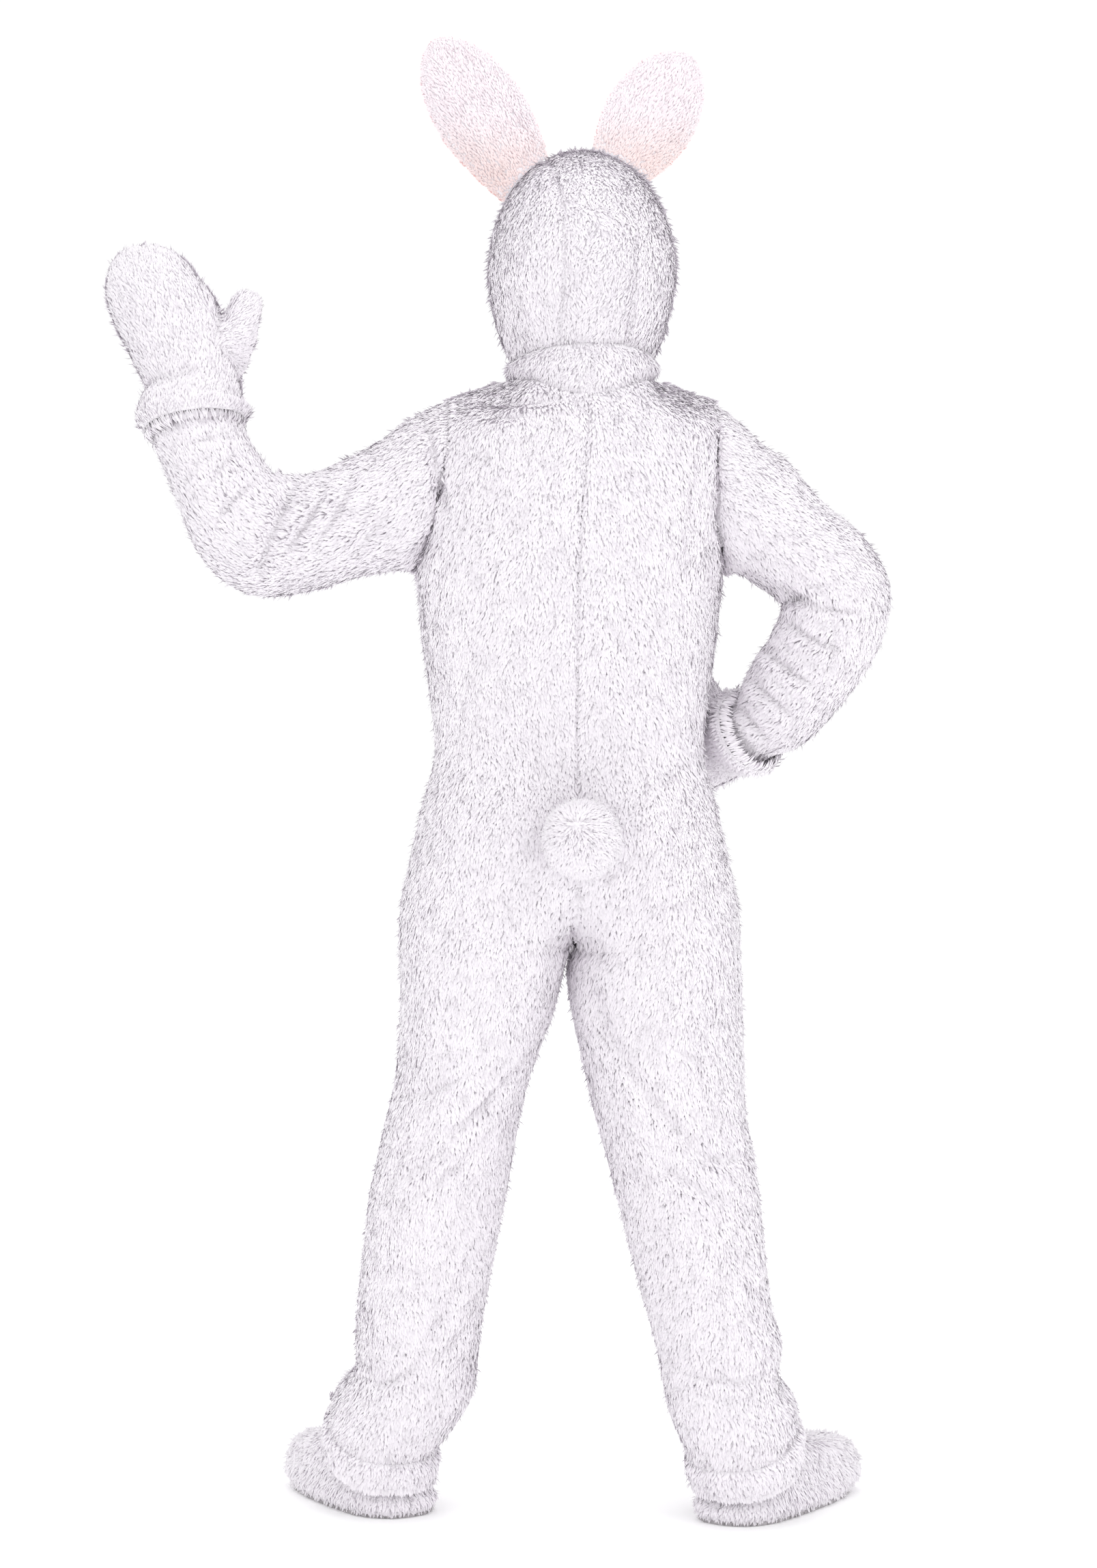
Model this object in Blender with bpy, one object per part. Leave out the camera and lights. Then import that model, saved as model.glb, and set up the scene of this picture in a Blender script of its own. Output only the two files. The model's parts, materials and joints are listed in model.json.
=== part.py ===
"""Hollow worn bunny costume of plush fur cloth: hooded suit, tail, mittens and shoe covers."""

import math
from collections import namedtuple

import bmesh
import bpy
import numpy as np

# Driving sizes, in metres. Heights are measured over the floor; the origin is at the neck.
ORIGIN_HEIGHT = 1.139
WALL = 0.006
THIN_WALL = 0.004
SEAM_GAP = 0.0004
TRIM = 0.00025
SEAM_LIKENESS = 0.2
SEAM_REACH = 2e-5

# The suit's tube sections. Its front faces -Y, and +X is the wearer's left.
BodyRow = namedtuple("BodyRow", "height half_width back front")
BODY = (
    BodyRow(0.955, 0.157, 0.108, 0.104),
    BodyRow(0.915, 0.153, 0.105, 0.105),
    BodyRow(0.870, 0.149, 0.101, 0.104),
    BodyRow(0.790, 0.137, 0.095, 0.100),
    BodyRow(0.750, 0.143, 0.099, 0.100),
    BodyRow(0.700, 0.155, 0.114, 0.104),
)
BODY_STEPS = 6
BODY_POWER = 2.3

# Shoulders: a dome over the underarm line, cut by the armholes and the neck.
NECK_HALF_WIDTH = 0.075
NECK_BACK = 0.088
NECK_FRONT = 0.064
NECK_TOP = 1.153
COLLAR_RISE = 0.012
SHOULDER_X = 0.137
SHOULDER_TOP = 1.132
BACK_POWER = 4.0
FRONT_POWER = 2.4
SHOULDER_STEPS = 6
NECK_COLUMNS = 4
LEAN = -0.0125
LEAN_FROM = 0.940
LEAN_TO = 1.160

# The seat narrows to the crotch along a quarter ellipse.
CROTCH_HEIGHT = 0.572
SEAT_STEPS = 5
SEAT_DEPTH = 0.012
HALF_COLUMNS = 8

LegRow = namedtuple("LegRow", "height x y half_width half_depth lift")
LEG_LEFT = (
    LegRow(0.572, 0.0875, 0.006, 0.0875, 0.100, 0.000),
    LegRow(0.536, 0.0915, 0.005, 0.0817, 0.094, 0.000),
    LegRow(0.500, 0.0965, 0.003, 0.0775, 0.087, 0.000),
    LegRow(0.453, 0.1070, 0.000, 0.0700, 0.081, 0.000),
    LegRow(0.413, 0.1160, -0.004, 0.0690, 0.078, 0.000),
    LegRow(0.342, 0.1300, -0.011, 0.0705, 0.076, 0.000),
    LegRow(0.292, 0.1380, -0.017, 0.0695, 0.074, 0.000),
    LegRow(0.235, 0.1460, -0.023, 0.0675, 0.073, 0.000),
    LegRow(0.177, 0.1530, -0.030, 0.0650, 0.072, 0.008),
    LegRow(0.135, 0.1540, -0.035, 0.0625, 0.070, 0.020),
    LegRow(0.112, 0.1600, -0.038, 0.0645, 0.072, 0.032),
    LegRow(0.080, 0.1770, -0.042, 0.0620, 0.070, 0.048),
    LegRow(0.058, 0.1880, -0.044, 0.0565, 0.065, 0.054),
)
LEG_RIGHT = (
    LegRow(0.572, 0.0875, 0.006, 0.0875, 0.100, 0.000),
    LegRow(0.540, 0.0860, 0.008, 0.0900, 0.095, 0.000),
    LegRow(0.480, 0.0926, 0.012, 0.0856, 0.087, 0.000),
    LegRow(0.413, 0.1003, 0.016, 0.0785, 0.081, 0.000),
    LegRow(0.359, 0.1125, 0.019, 0.0760, 0.078, 0.000),
    LegRow(0.278, 0.1270, 0.022, 0.0705, 0.075, 0.000),
    LegRow(0.212, 0.1390, 0.025, 0.0650, 0.072, 0.000),
    LegRow(0.172, 0.1500, 0.026, 0.0650, 0.071, 0.008),
    LegRow(0.128, 0.1520, 0.026, 0.0590, 0.069, 0.022),
    LegRow(0.103, 0.1600, 0.026, 0.0620, 0.071, 0.034),
    LegRow(0.079, 0.1690, 0.026, 0.0610, 0.070, 0.048),
    LegRow(0.058, 0.1730, 0.026, 0.0575, 0.066, 0.054),
)
LEG_STEPS = 14
BAND_LEFT = (
    LegRow(0.058, 0.1880, -0.044, 0.0565, 0.065, 0.054),
    LegRow(0.046, 0.1895, -0.044, 0.0610, 0.070, 0.054),
    LegRow(0.030, 0.1900, -0.044, 0.0590, 0.068, 0.054),
)
BAND_RIGHT = (
    LegRow(0.058, 0.1730, 0.026, 0.0575, 0.066, 0.054),
    LegRow(0.046, 0.1760, 0.026, 0.0615, 0.071, 0.054),
    LegRow(0.030, 0.1780, 0.026, 0.0590, 0.068, 0.054),
)
BAND_STEPS = 3
BAND_DROP = 0.0006

# Arm and hand sections follow the limb; up is the ring's half size across it, seen from behind.
ArmRow = namedtuple("ArmRow", "x y height up depth twist")
ARM_LEFT = (
    ArmRow(0.155, 0.000, 1.038, 0.0820, 0.062, 0),
    ArmRow(0.175, 0.000, 1.028, 0.0720, 0.060, 0),
    ArmRow(0.213, -0.001, 1.013, 0.0620, 0.058, 0),
    ArmRow(0.262, -0.002, 0.9965, 0.0590, 0.057, 0),
    ArmRow(0.310, -0.004, 0.996, 0.0660, 0.058, 0),
    ArmRow(0.338, -0.009, 1.020, 0.0560, 0.056, 0),
    ArmRow(0.352, -0.015, 1.044, 0.0500, 0.052, 0),
    ArmRow(0.367, -0.024, 1.073, 0.0470, 0.048, 0),
    ArmRow(0.377, -0.033, 1.098, 0.0460, 0.045, 0),
    ArmRow(0.380, -0.040, 1.118, 0.0450, 0.044, 0),
)
ARM_RIGHT = (
    ArmRow(-0.1580, 0.002, 1.0400, 0.0820, 0.062, 0),
    ArmRow(-0.1680, 0.004, 1.0330, 0.0785, 0.061, 2),
    ArmRow(-0.1830, 0.006, 1.0215, 0.0690, 0.059, 6),
    ArmRow(-0.2000, 0.009, 1.0105, 0.0640, 0.057, 12),
    ArmRow(-0.2180, 0.013, 0.9910, 0.0560, 0.056, 25),
    ArmRow(-0.2380, 0.017, 0.9750, 0.0540, 0.055, 38),
    ArmRow(-0.2580, 0.022, 0.9560, 0.0540, 0.054, 55),
    ArmRow(-0.2715, 0.025, 0.9235, 0.0560, 0.054, 75),
    ArmRow(-0.2515, 0.017, 0.8730, 0.0520, 0.050, 108),
    ArmRow(-0.2315, 0.008, 0.8430, 0.0500, 0.046, 126),
    ArmRow(-0.2105, -0.001, 0.8125, 0.0450, 0.038, 138),
    ArmRow(-0.1965, -0.009, 0.8010, 0.0370, 0.030, 146),
    ArmRow(-0.1840, -0.020, 0.7920, 0.0345, 0.0305, 150),
)
ARM_STEPS = 16
SHOULDER_RINGS = 8

# A mitten's rings run from its cuff over the wrist to the finger end.
HAND_LEFT = (
    ArmRow(0.3795, -0.035, 1.104, 0.0540, 0.0525, 0),
    ArmRow(0.3805, -0.038, 1.114, 0.0590, 0.057, 0),
    ArmRow(0.3810, -0.042, 1.128, 0.0550, 0.053, 0),
    ArmRow(0.3790, -0.046, 1.148, 0.0465, 0.041, 0),
    ArmRow(0.3860, -0.052, 1.170, 0.0510, 0.039, 0),
    ArmRow(0.4020, -0.060, 1.207, 0.0530, 0.038, 0),
    ArmRow(0.4200, -0.069, 1.238, 0.0500, 0.035, 0),
    ArmRow(0.4270, -0.075, 1.262, 0.0445, 0.030, 0),
    ArmRow(0.4300, -0.079, 1.280, 0.0330, 0.022, 0),
    ArmRow(0.4305, -0.081, 1.289, 0.0180, 0.012, 0),
    ArmRow(0.4310, -0.082, 1.292, 0.0000, 0.000, 0),
)
HAND_RIGHT = (
    ArmRow(-0.1880, -0.012, 0.7950, 0.0465, 0.042, 180),
    ArmRow(-0.1845, -0.017, 0.7930, 0.0485, 0.044, 180),
    ArmRow(-0.1790, -0.025, 0.7897, 0.0440, 0.040, 180),
    ArmRow(-0.1720, -0.043, 0.7860, 0.0380, 0.033, 180),
    ArmRow(-0.1640, -0.068, 0.7820, 0.0420, 0.031, 180),
    ArmRow(-0.1450, -0.102, 0.7780, 0.0490, 0.033, 180),
    ArmRow(-0.1130, -0.130, 0.7740, 0.0510, 0.031, 180),
    ArmRow(-0.0820, -0.145, 0.7710, 0.0460, 0.027, 180),
    ArmRow(-0.0590, -0.150, 0.7700, 0.0340, 0.020, 180),
    ArmRow(-0.0470, -0.152, 0.7700, 0.0180, 0.011, 180),
    ArmRow(-0.0430, -0.1525, 0.7700, 0.0000, 0.000, 180),
)
HAND_STEPS = 20
HAND_COLUMNS = 7
THUMB_FIRST = 6
THUMB_LAST = 10
THUMB_OPENING = 48.0
HALF_GAP = 0.0002
ThumbRow = namedtuple("ThumbRow", "reach rise size")
THUMB = (
    ThumbRow(0.0120, 0.0060, 0.0225),
    ThumbRow(0.0205, 0.0175, 0.0200),
    ThumbRow(0.0275, 0.0285, 0.0185),
    ThumbRow(0.0345, 0.0390, 0.0160),
    ThumbRow(0.0385, 0.0455, 0.0105),
    ThumbRow(0.0405, 0.0490, 0.0000),
)

# The hood: rings up to its widest, then a dome, cut by a face opening.
HoodRow = namedtuple("HoodRow", "height half_width back front")
HOOD = (
    HoodRow(1.1870, 0.0740, 0.076, 0.062),
    HoodRow(1.2050, 0.0820, 0.086, 0.074),
    HoodRow(1.2220, 0.0895, 0.096, 0.088),
    HoodRow(1.2420, 0.0945, 0.104, 0.098),
    HoodRow(1.2620, 0.0960, 0.108, 0.102),
)
DOME_RISE = 0.1235
DOME_STEPS = 6
FOREHEAD_STEP = 3
GUSSET_HALF_WIDTH = 0.038
HOOD_TILT = 0.036
HOOD_Y = 0.004
HOOD_TURN = math.radians(6)
OPENING_CENTRE = 1.256
OPENING_HALF_HEIGHT = 0.086
OPENING_HALF_WIDTH = 0.064
SIDE_COLUMNS = 6
COLLAR_STEPS = 3
COLLAR_ROLL = 0.005
COLLAR_DROP = 0.0006

EarRow = namedtuple("EarRow", "along half_width")
EAR = (
    EarRow(0.00, 0.031),
    EarRow(0.25, 0.042),
    EarRow(0.50, 0.046),
    EarRow(0.75, 0.038),
    EarRow(0.90, 0.024),
    EarRow(0.97, 0.012),
    EarRow(1.00, 0.000),
)
EAR_LENGTH = 0.160
EAR_WIDEST = 0.046
EAR_BULGE = 0.0065
EAR_EDGE = 0.0016
EAR_CUP = 0.009
EAR_STEPS = 9
EAR_COLUMNS = 7
EAR_HALF_GAP = 0.0002
EAR_SEARCH = (-0.05, 0.06)
EarPlace = namedtuple("EarPlace", "side base_x base_height lean_x lean_y lean_up")
EARS = (
    EarPlace("left", 0.0500, 1.362, 0.089, -0.012, 0.135),
    EarPlace("right", -0.0480, 1.364, -0.083, -0.060, 0.130),
)
EAR_CLEARANCE = 0.0002

TAIL_RADIUS = 0.039
TAIL_HEIGHT = 0.6915
TAIL_SUNK = 0.010
TAIL_GAP = 0.0012
TAIL_COLUMNS = 16
TAIL_ROWS = 10

# A shoe cover's outline rises from the sole to the ankle.
ShoeRow = namedtuple("ShoeRow", "height front back half_width")
SHOE = (
    ShoeRow(0.0045, 0.158, 0.058, 0.046),
    ShoeRow(0.0160, 0.172, 0.062, 0.050),
    ShoeRow(0.0250, 0.174, 0.054, 0.047),
    ShoeRow(0.0420, 0.168, 0.047, 0.043),
    ShoeRow(0.0570, 0.150, 0.046, 0.040),
    ShoeRow(0.0665, 0.098, 0.045, 0.036),
    ShoeRow(0.0735, 0.058, 0.044, 0.034),
    ShoeRow(0.0850, 0.039, 0.042, 0.034),
)
SHOE_STEPS = 8
SHOE_COLUMNS = 9
SOLE_THICKNESS = 0.0042
SOLE_INSET = 0.0005
ShoePlace = namedtuple("ShoePlace", "side x y toe_x toe_y reach")
SHOES = (
    ShoePlace("left", 0.1880, -0.042, 0.118, -0.214, 1.00),
    ShoePlace("right", -0.1800, 0.028, -0.162, -0.190, 1.13),
)

ZIP_HALF_WIDTH = 0.012
ZIP_THICKNESS = 0.001
ZIP_STANDOFF = 0.0012
ZIP_ROWS = 12

# Largest folds as soft troughs; side 1 lies on the back and -1 on the front.
Fold = namedtuple("Fold", "x0 z0 xm zm x1 z1 width depth side")
FOLDS = (
    Fold(0.060, 0.440, 0.110, 0.372, 0.190, 0.345, 0.013, 0.0060, 1),
    Fold(0.055, 0.400, 0.090, 0.322, 0.185, 0.275, 0.012, 0.0050, 1),
    Fold(0.180, 0.455, 0.140, 0.425, 0.110, 0.425, 0.014, 0.0045, 1),
    Fold(0.075, 0.240, 0.105, 0.180, 0.175, 0.120, 0.012, 0.0045, 1),
    Fold(0.230, 0.110, 0.180, 0.085, 0.140, 0.085, 0.010, 0.0040, 1),
    Fold(-0.020, 0.520, -0.070, 0.420, -0.160, 0.345, 0.015, 0.0070, 1),
    Fold(-0.075, 0.400, -0.110, 0.330, -0.175, 0.300, 0.014, 0.0045, 1),
    Fold(-0.110, 0.165, -0.150, 0.125, -0.205, 0.120, 0.012, 0.0045, 1),
    Fold(-0.125, 0.110, -0.160, 0.085, -0.225, 0.088, 0.010, 0.0035, 1),
    Fold(0.060, 0.470, 0.120, 0.420, 0.180, 0.410, 0.015, 0.0055, -1),
    Fold(0.060, 0.330, 0.110, 0.290, 0.190, 0.300, 0.014, 0.0045, -1),
    Fold(-0.050, 0.470, -0.110, 0.400, -0.180, 0.380, 0.015, 0.0060, -1),
    Fold(-0.070, 0.300, -0.120, 0.270, -0.185, 0.285, 0.014, 0.0045, -1),
    Fold(0.105, 1.120, 0.120, 1.090, 0.128, 1.040, 0.010, 0.0035, 1),
    Fold(0.302, 1.050, 0.265, 1.010, 0.285, 0.945, 0.011, 0.0070, 1),
    Fold(0.255, 1.050, 0.235, 1.010, 0.240, 0.960, 0.011, 0.0050, 1),
    Fold(0.215, 1.060, 0.205, 1.020, 0.200, 0.975, 0.011, 0.0035, 1),
    Fold(0.322, 1.060, 0.345, 1.030, 0.350, 0.990, 0.010, 0.0040, 1),
    Fold(0.295, 1.045, 0.270, 1.005, 0.280, 0.950, 0.012, 0.0060, -1),
    Fold(-0.205, 0.925, -0.235, 0.925, -0.275, 0.915, 0.011, 0.0060, 1),
    Fold(-0.185, 0.880, -0.215, 0.870, -0.240, 0.885, 0.010, 0.0055, 1),
    Fold(-0.165, 0.845, -0.190, 0.830, -0.220, 0.838, 0.010, 0.0055, 1),
    Fold(-0.160, 0.905, -0.215, 0.900, -0.270, 0.905, 0.012, 0.0055, -1),
    Fold(0.100, 0.795, 0.040, 0.775, -0.080, 0.790, 0.016, 0.0045, -1),
    Fold(0.105, 0.620, 0.070, 0.610, 0.020, 0.640, 0.014, 0.0040, -1),
)
FOLD_SAMPLES = 9

FINISHES = {
    "white_fur": ((0.90, 0.88, 0.91, 1.0), 0.95),
    "pink_fur": ((0.90, 0.66, 0.68, 1.0), 0.90),
    "grey_sole": ((0.42, 0.40, 0.41, 1.0), 0.75),
    "white_tape": ((0.82, 0.81, 0.83, 1.0), 0.60),
}

Patch = namedtuple("Patch", "name grid normals trims shift finish wall")


def clear_scene():
    """Removes every object of the scene."""
    for obj in list(bpy.data.objects):
        bpy.data.objects.remove(obj, do_unlink=True)


def make_material(name, colour, roughness):
    """A plain Principled finish."""
    material = bpy.data.materials.new(name)
    material.use_nodes = True
    shader = material.node_tree.nodes["Principled BSDF"]
    shader.inputs["Base Color"].default_value = colour
    shader.inputs["Roughness"].default_value = roughness
    shader.inputs["Metallic"].default_value = 0.0
    return material


def along(rows, place):
    """The row at a fractional place of a table, on a smooth curve through its rows."""
    last = len(rows) - 1
    first = min(int(place), last - 1)
    t = place - first
    a, b, c, d = (np.array(rows[min(max(first + k, 0), last)], float) for k in (-1, 0, 1, 2))
    slope = c - a
    bend = 2 * a - 5 * b + 4 * c - d
    twist = 3 * b - a - 3 * c + d
    return type(rows[0])(*(b + 0.5 * (slope * t + bend * t**2 + twist * t**3)))


def resampled(rows, steps):
    """A table with steps + 1 rows, evenly spread along the given one."""
    return [along(rows, k * (len(rows) - 1) / steps) for k in range(steps + 1)]


def unit(vector):
    """The vector at length 1."""
    return vector / max(np.linalg.norm(vector), 1e-12)


def smooth(value):
    """A soft step from 0 to 1."""
    value = min(max(value, 0.0), 1.0)
    return value * value * (3 - 2 * value)


def leaned(point):
    """Moves the upper body to the wearer's right, as the shoulders are held."""
    x, y, height = point
    return np.array((x + LEAN * smooth((height - LEAN_FROM) / (LEAN_TO - LEAN_FROM)), y, height))


def quarter(angle, power):
    """Sideways and outward shares of a quarter superellipse."""
    side = max(math.sin(angle), 0.0) ** (2 / power)
    out = max(math.cos(angle), 0.0) ** (2 / power)
    return side, out


def shoulder_line(x):
    """Height of the shoulder seam over x."""
    if x < NECK_HALF_WIDTH:
        return NECK_TOP + COLLAR_RISE * (1 - x / NECK_HALF_WIDTH)
    slope = (NECK_TOP - SHOULDER_TOP) / (SHOULDER_X - NECK_HALF_WIDTH)
    return NECK_TOP - slope * (x - NECK_HALF_WIDTH)


def column_angles():
    """Angles of the suit's columns, with one column that meets the neck's side point."""
    neck = math.asin((NECK_HALF_WIDTH / SHOULDER_X) ** (BODY_POWER / 2))
    first = [neck * k / NECK_COLUMNS for k in range(NECK_COLUMNS)]
    rest = HALF_COLUMNS - NECK_COLUMNS
    return first + [neck + (math.pi / 2 - neck) * k / rest for k in range(rest + 1)]


def shoulder_rows(side, back):
    """Rows from the neck and shoulder seam down to the underarm."""
    base = BODY[0]
    depth = base.back if back else -base.front
    power = BACK_POWER if back else FRONT_POWER
    neck_depth = NECK_BACK if back else NECK_FRONT
    rows = []
    for step in range(SHOULDER_STEPS + 1):
        rise = 1 - step / SHOULDER_STEPS
        edge = SHOULDER_X + (base.half_width - SHOULDER_X) * (1 - rise) ** 3
        row = []
        for angle in column_angles():
            x = edge * quarter(angle, BODY_POWER)[0]
            start = max(1 - (x / base.half_width) ** BODY_POWER, 0.0) ** (1 / BODY_POWER)
            top = 1.0
            neck_x = SHOULDER_X * quarter(angle, BODY_POWER)[0]
            if neck_x < NECK_HALF_WIDTH - 1e-9:
                neck_y = neck_depth * math.sqrt(1 - (neck_x / NECK_HALF_WIDTH) ** 2)
                share = (1 - (neck_x / base.half_width) ** BODY_POWER) ** (1 / BODY_POWER)
                top = (1 - min(neck_y / (abs(depth) * share), 1) ** power) ** (1 / power)
            part = rise * top
            height = base.height + part * (shoulder_line(x) - base.height)
            y = depth * start * max(1 - part**power, 0.0) ** (1 / power)
            row.append(leaned((side * x, y, height)))
        rows.append(row)
    return rows


def body_rows(side, back):
    """Rows below the underarm down to the top of the seat."""
    rows = []
    for body in resampled(BODY, BODY_STEPS)[1:]:
        depth = body.back if back else -body.front
        row = []
        for angle in column_angles():
            sideways, out = quarter(angle, BODY_POWER)
            row.append(leaned((side * body.half_width * sideways, depth * out, body.height)))
        rows.append(row)
    return rows


def leg_point(leg, angle, back, side, toe):
    """A point of a leg's ring; the angle runs from the inseam at pi to the side seam at 0."""
    out = math.sin(angle) * (1 if back else -1)
    x = leg.x + leg.half_width * math.cos(angle)
    y = leg.y + leg.half_depth * out
    towards = unit(np.array((x - leg.x, y - leg.y)) / np.array((leg.half_width, leg.half_depth)))
    forward = (1 + towards @ np.array(toe)) / 2
    return np.array((side * x, y, leg.height + leg.lift * forward**1.5))


def seat_rows(side, back, legs, toe):
    """Rows that bend in along the crotch curve, from the seat to the top of the leg."""
    top = BODY[-1]
    depth = top.back if back else -top.front
    rows = []
    angles = column_angles()
    for step in range(1, SEAT_STEPS + 1):
        turn = math.pi / 2 * step / SEAT_STEPS
        height = top.height - (top.height - CROTCH_HEIGHT) * math.sin(turn)
        upright = smooth(math.sin(turn))
        bulge = SEAT_DEPTH * math.sin(2 * turn) * (1 if back else 0)
        leg = legs[0]
        width = top.half_width + (2 * leg.half_width - top.half_width) * math.sin(turn)
        row = []
        for angle in angles:
            sideways, out = quarter(angle, BODY_POWER)
            torso = np.array((side * width * sideways, (depth + bulge) * out, height))
            ring = leg_point(leg._replace(height=height), math.pi - 2 * angle, back, side, toe)
            middle = max(1 - 4 * angle / math.pi, 0.0)
            share = middle * (1 - math.cos(turn)) + (1 - middle) * upright
            row.append(torso * (1 - share) + ring * share)
        rows.append(row)
    return rows


def leg_rows(side, back, legs, toe, steps):
    """Rows down a leg, after its first."""
    rows = []
    for leg in resampled(legs, steps)[1:]:
        rows.append([leg_point(leg, math.pi - 2 * a, back, side, toe) for a in column_angles()])
    return rows


def toe_direction(place, side):
    """Unit direction of a shoe's toe, in the mirrored frame of its own leg."""
    return tuple(unit(np.array((side * place.toe_x, place.toe_y))))


def suit_grid(side, back, legs, toe):
    """One panel of the suit, from the shoulder to the ankle."""
    rows = shoulder_rows(side, back) + body_rows(side, back)
    rows += seat_rows(side, back, legs, toe) + leg_rows(side, back, legs, toe, LEG_STEPS)
    return np.array(rows)


def limb_frames(rows, start=None):
    """Centre, up and back directions of each ring; the first rings face the start direction."""
    centres = np.array([(row.x, row.y, row.height) for row in rows])
    frames = []
    for k, centre in enumerate(centres):
        ahead = centres[min(k + 1, len(rows) - 1)]
        behind = centres[max(k - 1, 0)]
        forward = unit(ahead - behind)
        if start is not None:
            share = smooth(k / SHOULDER_RINGS)
            forward = unit(start * (1 - share) + forward * share)
        back = unit(np.array((0, 1.0, 0)) - forward[1] * forward)
        frames.append((centre, np.cross(back, forward), back))
    return frames


def limb_ring(row, frame, turn, side):
    """A point of a limb's ring; turn 0 is under the arm, and the back comes next."""
    centre, up, back = frame
    angle = turn + math.radians(row.twist)
    return centre + side * up * row.up * math.cos(angle) + back * row.depth * math.sin(angle)


def sleeve_grid(side, arm, ring):
    """A sleeve from its armhole, closed by one seam on the under side."""
    rows = resampled(arm, ARM_STEPS)
    frames = limb_frames(rows, np.array((side, 0.0, 0.0)))
    count = len(ring)
    grid = [ring]
    for row, frame in zip(rows[1:], frames[1:]):
        turns = [2 * math.pi * k / (count - 1) for k in range(count)]
        grid.append([limb_ring(row, frame, turn, side) for turn in turns])
    return np.array(grid)


def hand_grids(side, hand):
    """Back and palm halves of a mitten, and the thumb's root ring between them."""
    rows = resampled(hand, HAND_STEPS)
    frames = limb_frames(rows)
    halves = []
    gaps = []
    for back in (True, False):
        grid = []
        gap = []
        for k, (row, frame) in enumerate(zip(rows, frames)):
            share = (k - THUMB_FIRST) / (THUMB_LAST - THUMB_FIRST)
            opened = math.radians(THUMB_OPENING) * math.sin(math.pi * min(max(share, 0), 1))
            middle = limb_ring(row._replace(depth=1.0), frame, math.pi / 2 * (1 if back else -1), side)
            gap.append([(middle - frame[0]) * HALF_GAP])
            line = []
            for c in range(HAND_COLUMNS):
                turn = (math.pi - opened) * c / (HAND_COLUMNS - 1)
                line.append(limb_ring(row, frame, turn if back else -turn, side))
            grid.append(line)
        halves.append(np.array(grid))
        gaps.append(np.array(gap))
    back_edge = halves[0][THUMB_FIRST : THUMB_LAST + 1, -1]
    palm_edge = halves[1][THUMB_FIRST : THUMB_LAST + 1, -1]
    root = list(back_edge) + list(palm_edge[-2:0:-1]) + [back_edge[0]]
    return halves, gaps, np.array(root), frames[(THUMB_FIRST + THUMB_LAST) // 2][0]


def thumb_grid(root, hand_centre):
    """A thumb from its opening to its round end, as a ring of quads."""
    count = len(root) - 1
    centre = root[:-1].mean(axis=0)
    ahead = unit(root[count // 2] - root[0])
    back = unit(root[count // 4] - root[-1 - count // 4])
    outward = centre - hand_centre
    outward = unit(outward - ahead * (outward @ ahead) - back * (outward @ back))
    middles = [centre] + [centre + outward * row.reach + ahead * row.rise for row in THUMB]
    grid = [list(root)]
    for k, row in enumerate(THUMB, start=1):
        axis = unit(middles[min(k + 1, len(THUMB))] - middles[k - 1])
        across = unit(outward - axis * (outward @ axis))
        turns = [2 * math.pi * c / count for c in range(count + 1)]
        grid.append([middles[k] + (across * math.cos(a) + back * math.sin(a)) * row.size for a in turns])
    return np.array(grid)


def hood_turned(point):
    """Turns and shifts a point of the upright hood with the head."""
    x, y, height = point
    turned_x = x * math.cos(HOOD_TURN) - (y - HOOD_Y) * math.sin(HOOD_TURN)
    turned_y = HOOD_Y + x * math.sin(HOOD_TURN) + (y - HOOD_Y) * math.cos(HOOD_TURN)
    return np.array((turned_x + LEAN, turned_y, height))


def hood_rings():
    """Rings of the hood from the neck seam to just below its top."""
    crown = HOOD[-1]
    reach = math.sqrt(1 - (GUSSET_HALF_WIDTH / crown.half_width) ** 2)
    rings = list(HOOD)
    for step in range(1, DOME_STEPS + 1):
        climb = reach * math.sin(math.pi / 2 * step / DOME_STEPS)
        shrink = math.sqrt(1 - climb**2)
        depths = (crown.back * shrink, crown.front * shrink)
        rings.append(HoodRow(crown.height + DOME_RISE * climb, crown.half_width * shrink, *depths))
    return rings


def hood_point(ring, level, angle):
    """A point of the upright hood; angle 0 is at the back, pi / 2 at the left."""
    depth = ring.back if math.cos(angle) > 0 else ring.front
    fade = 1 - smooth(level / (len(HOOD) - 1))
    drop = HOOD_TILT * (1 - math.cos(angle)) / 2 * fade
    return (
        ring.half_width * math.sin(angle),
        HOOD_Y + depth * math.cos(angle),
        ring.height - drop,
    )


def face_angle(ring, level):
    """Where a ring ends at the face opening."""
    if level >= len(HOOD) - 1 + FOREHEAD_STEP:
        return math.pi - math.asin(min(GUSSET_HALF_WIDTH / ring.half_width, 1))
    height = ring.height - HOOD_TILT * (1 - smooth(level / (len(HOOD) - 1)))
    share = 1 - ((height - OPENING_CENTRE) / OPENING_HALF_HEIGHT) ** 2
    if share <= 0:
        return math.pi
    half = OPENING_HALF_WIDTH * math.sqrt(share)
    return math.pi - math.asin(min(half / ring.half_width, 1))


def hood_side_grid(side):
    """A side panel of the hood, from the gusset seam round to the face."""
    grid = []
    for level, ring in enumerate(hood_rings()):
        start = math.asin(min(GUSSET_HALF_WIDTH / ring.half_width, 1))
        stop = max(face_angle(ring, level), start)
        angles = [start + (stop - start) * c / SIDE_COLUMNS for c in range(SIDE_COLUMNS + 1)]
        line = []
        for angle in angles:
            x, y, height = hood_point(ring, level, angle)
            line.append(hood_turned((side * x, y, height)))
        grid.append(line)
    return np.array(grid)


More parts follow.
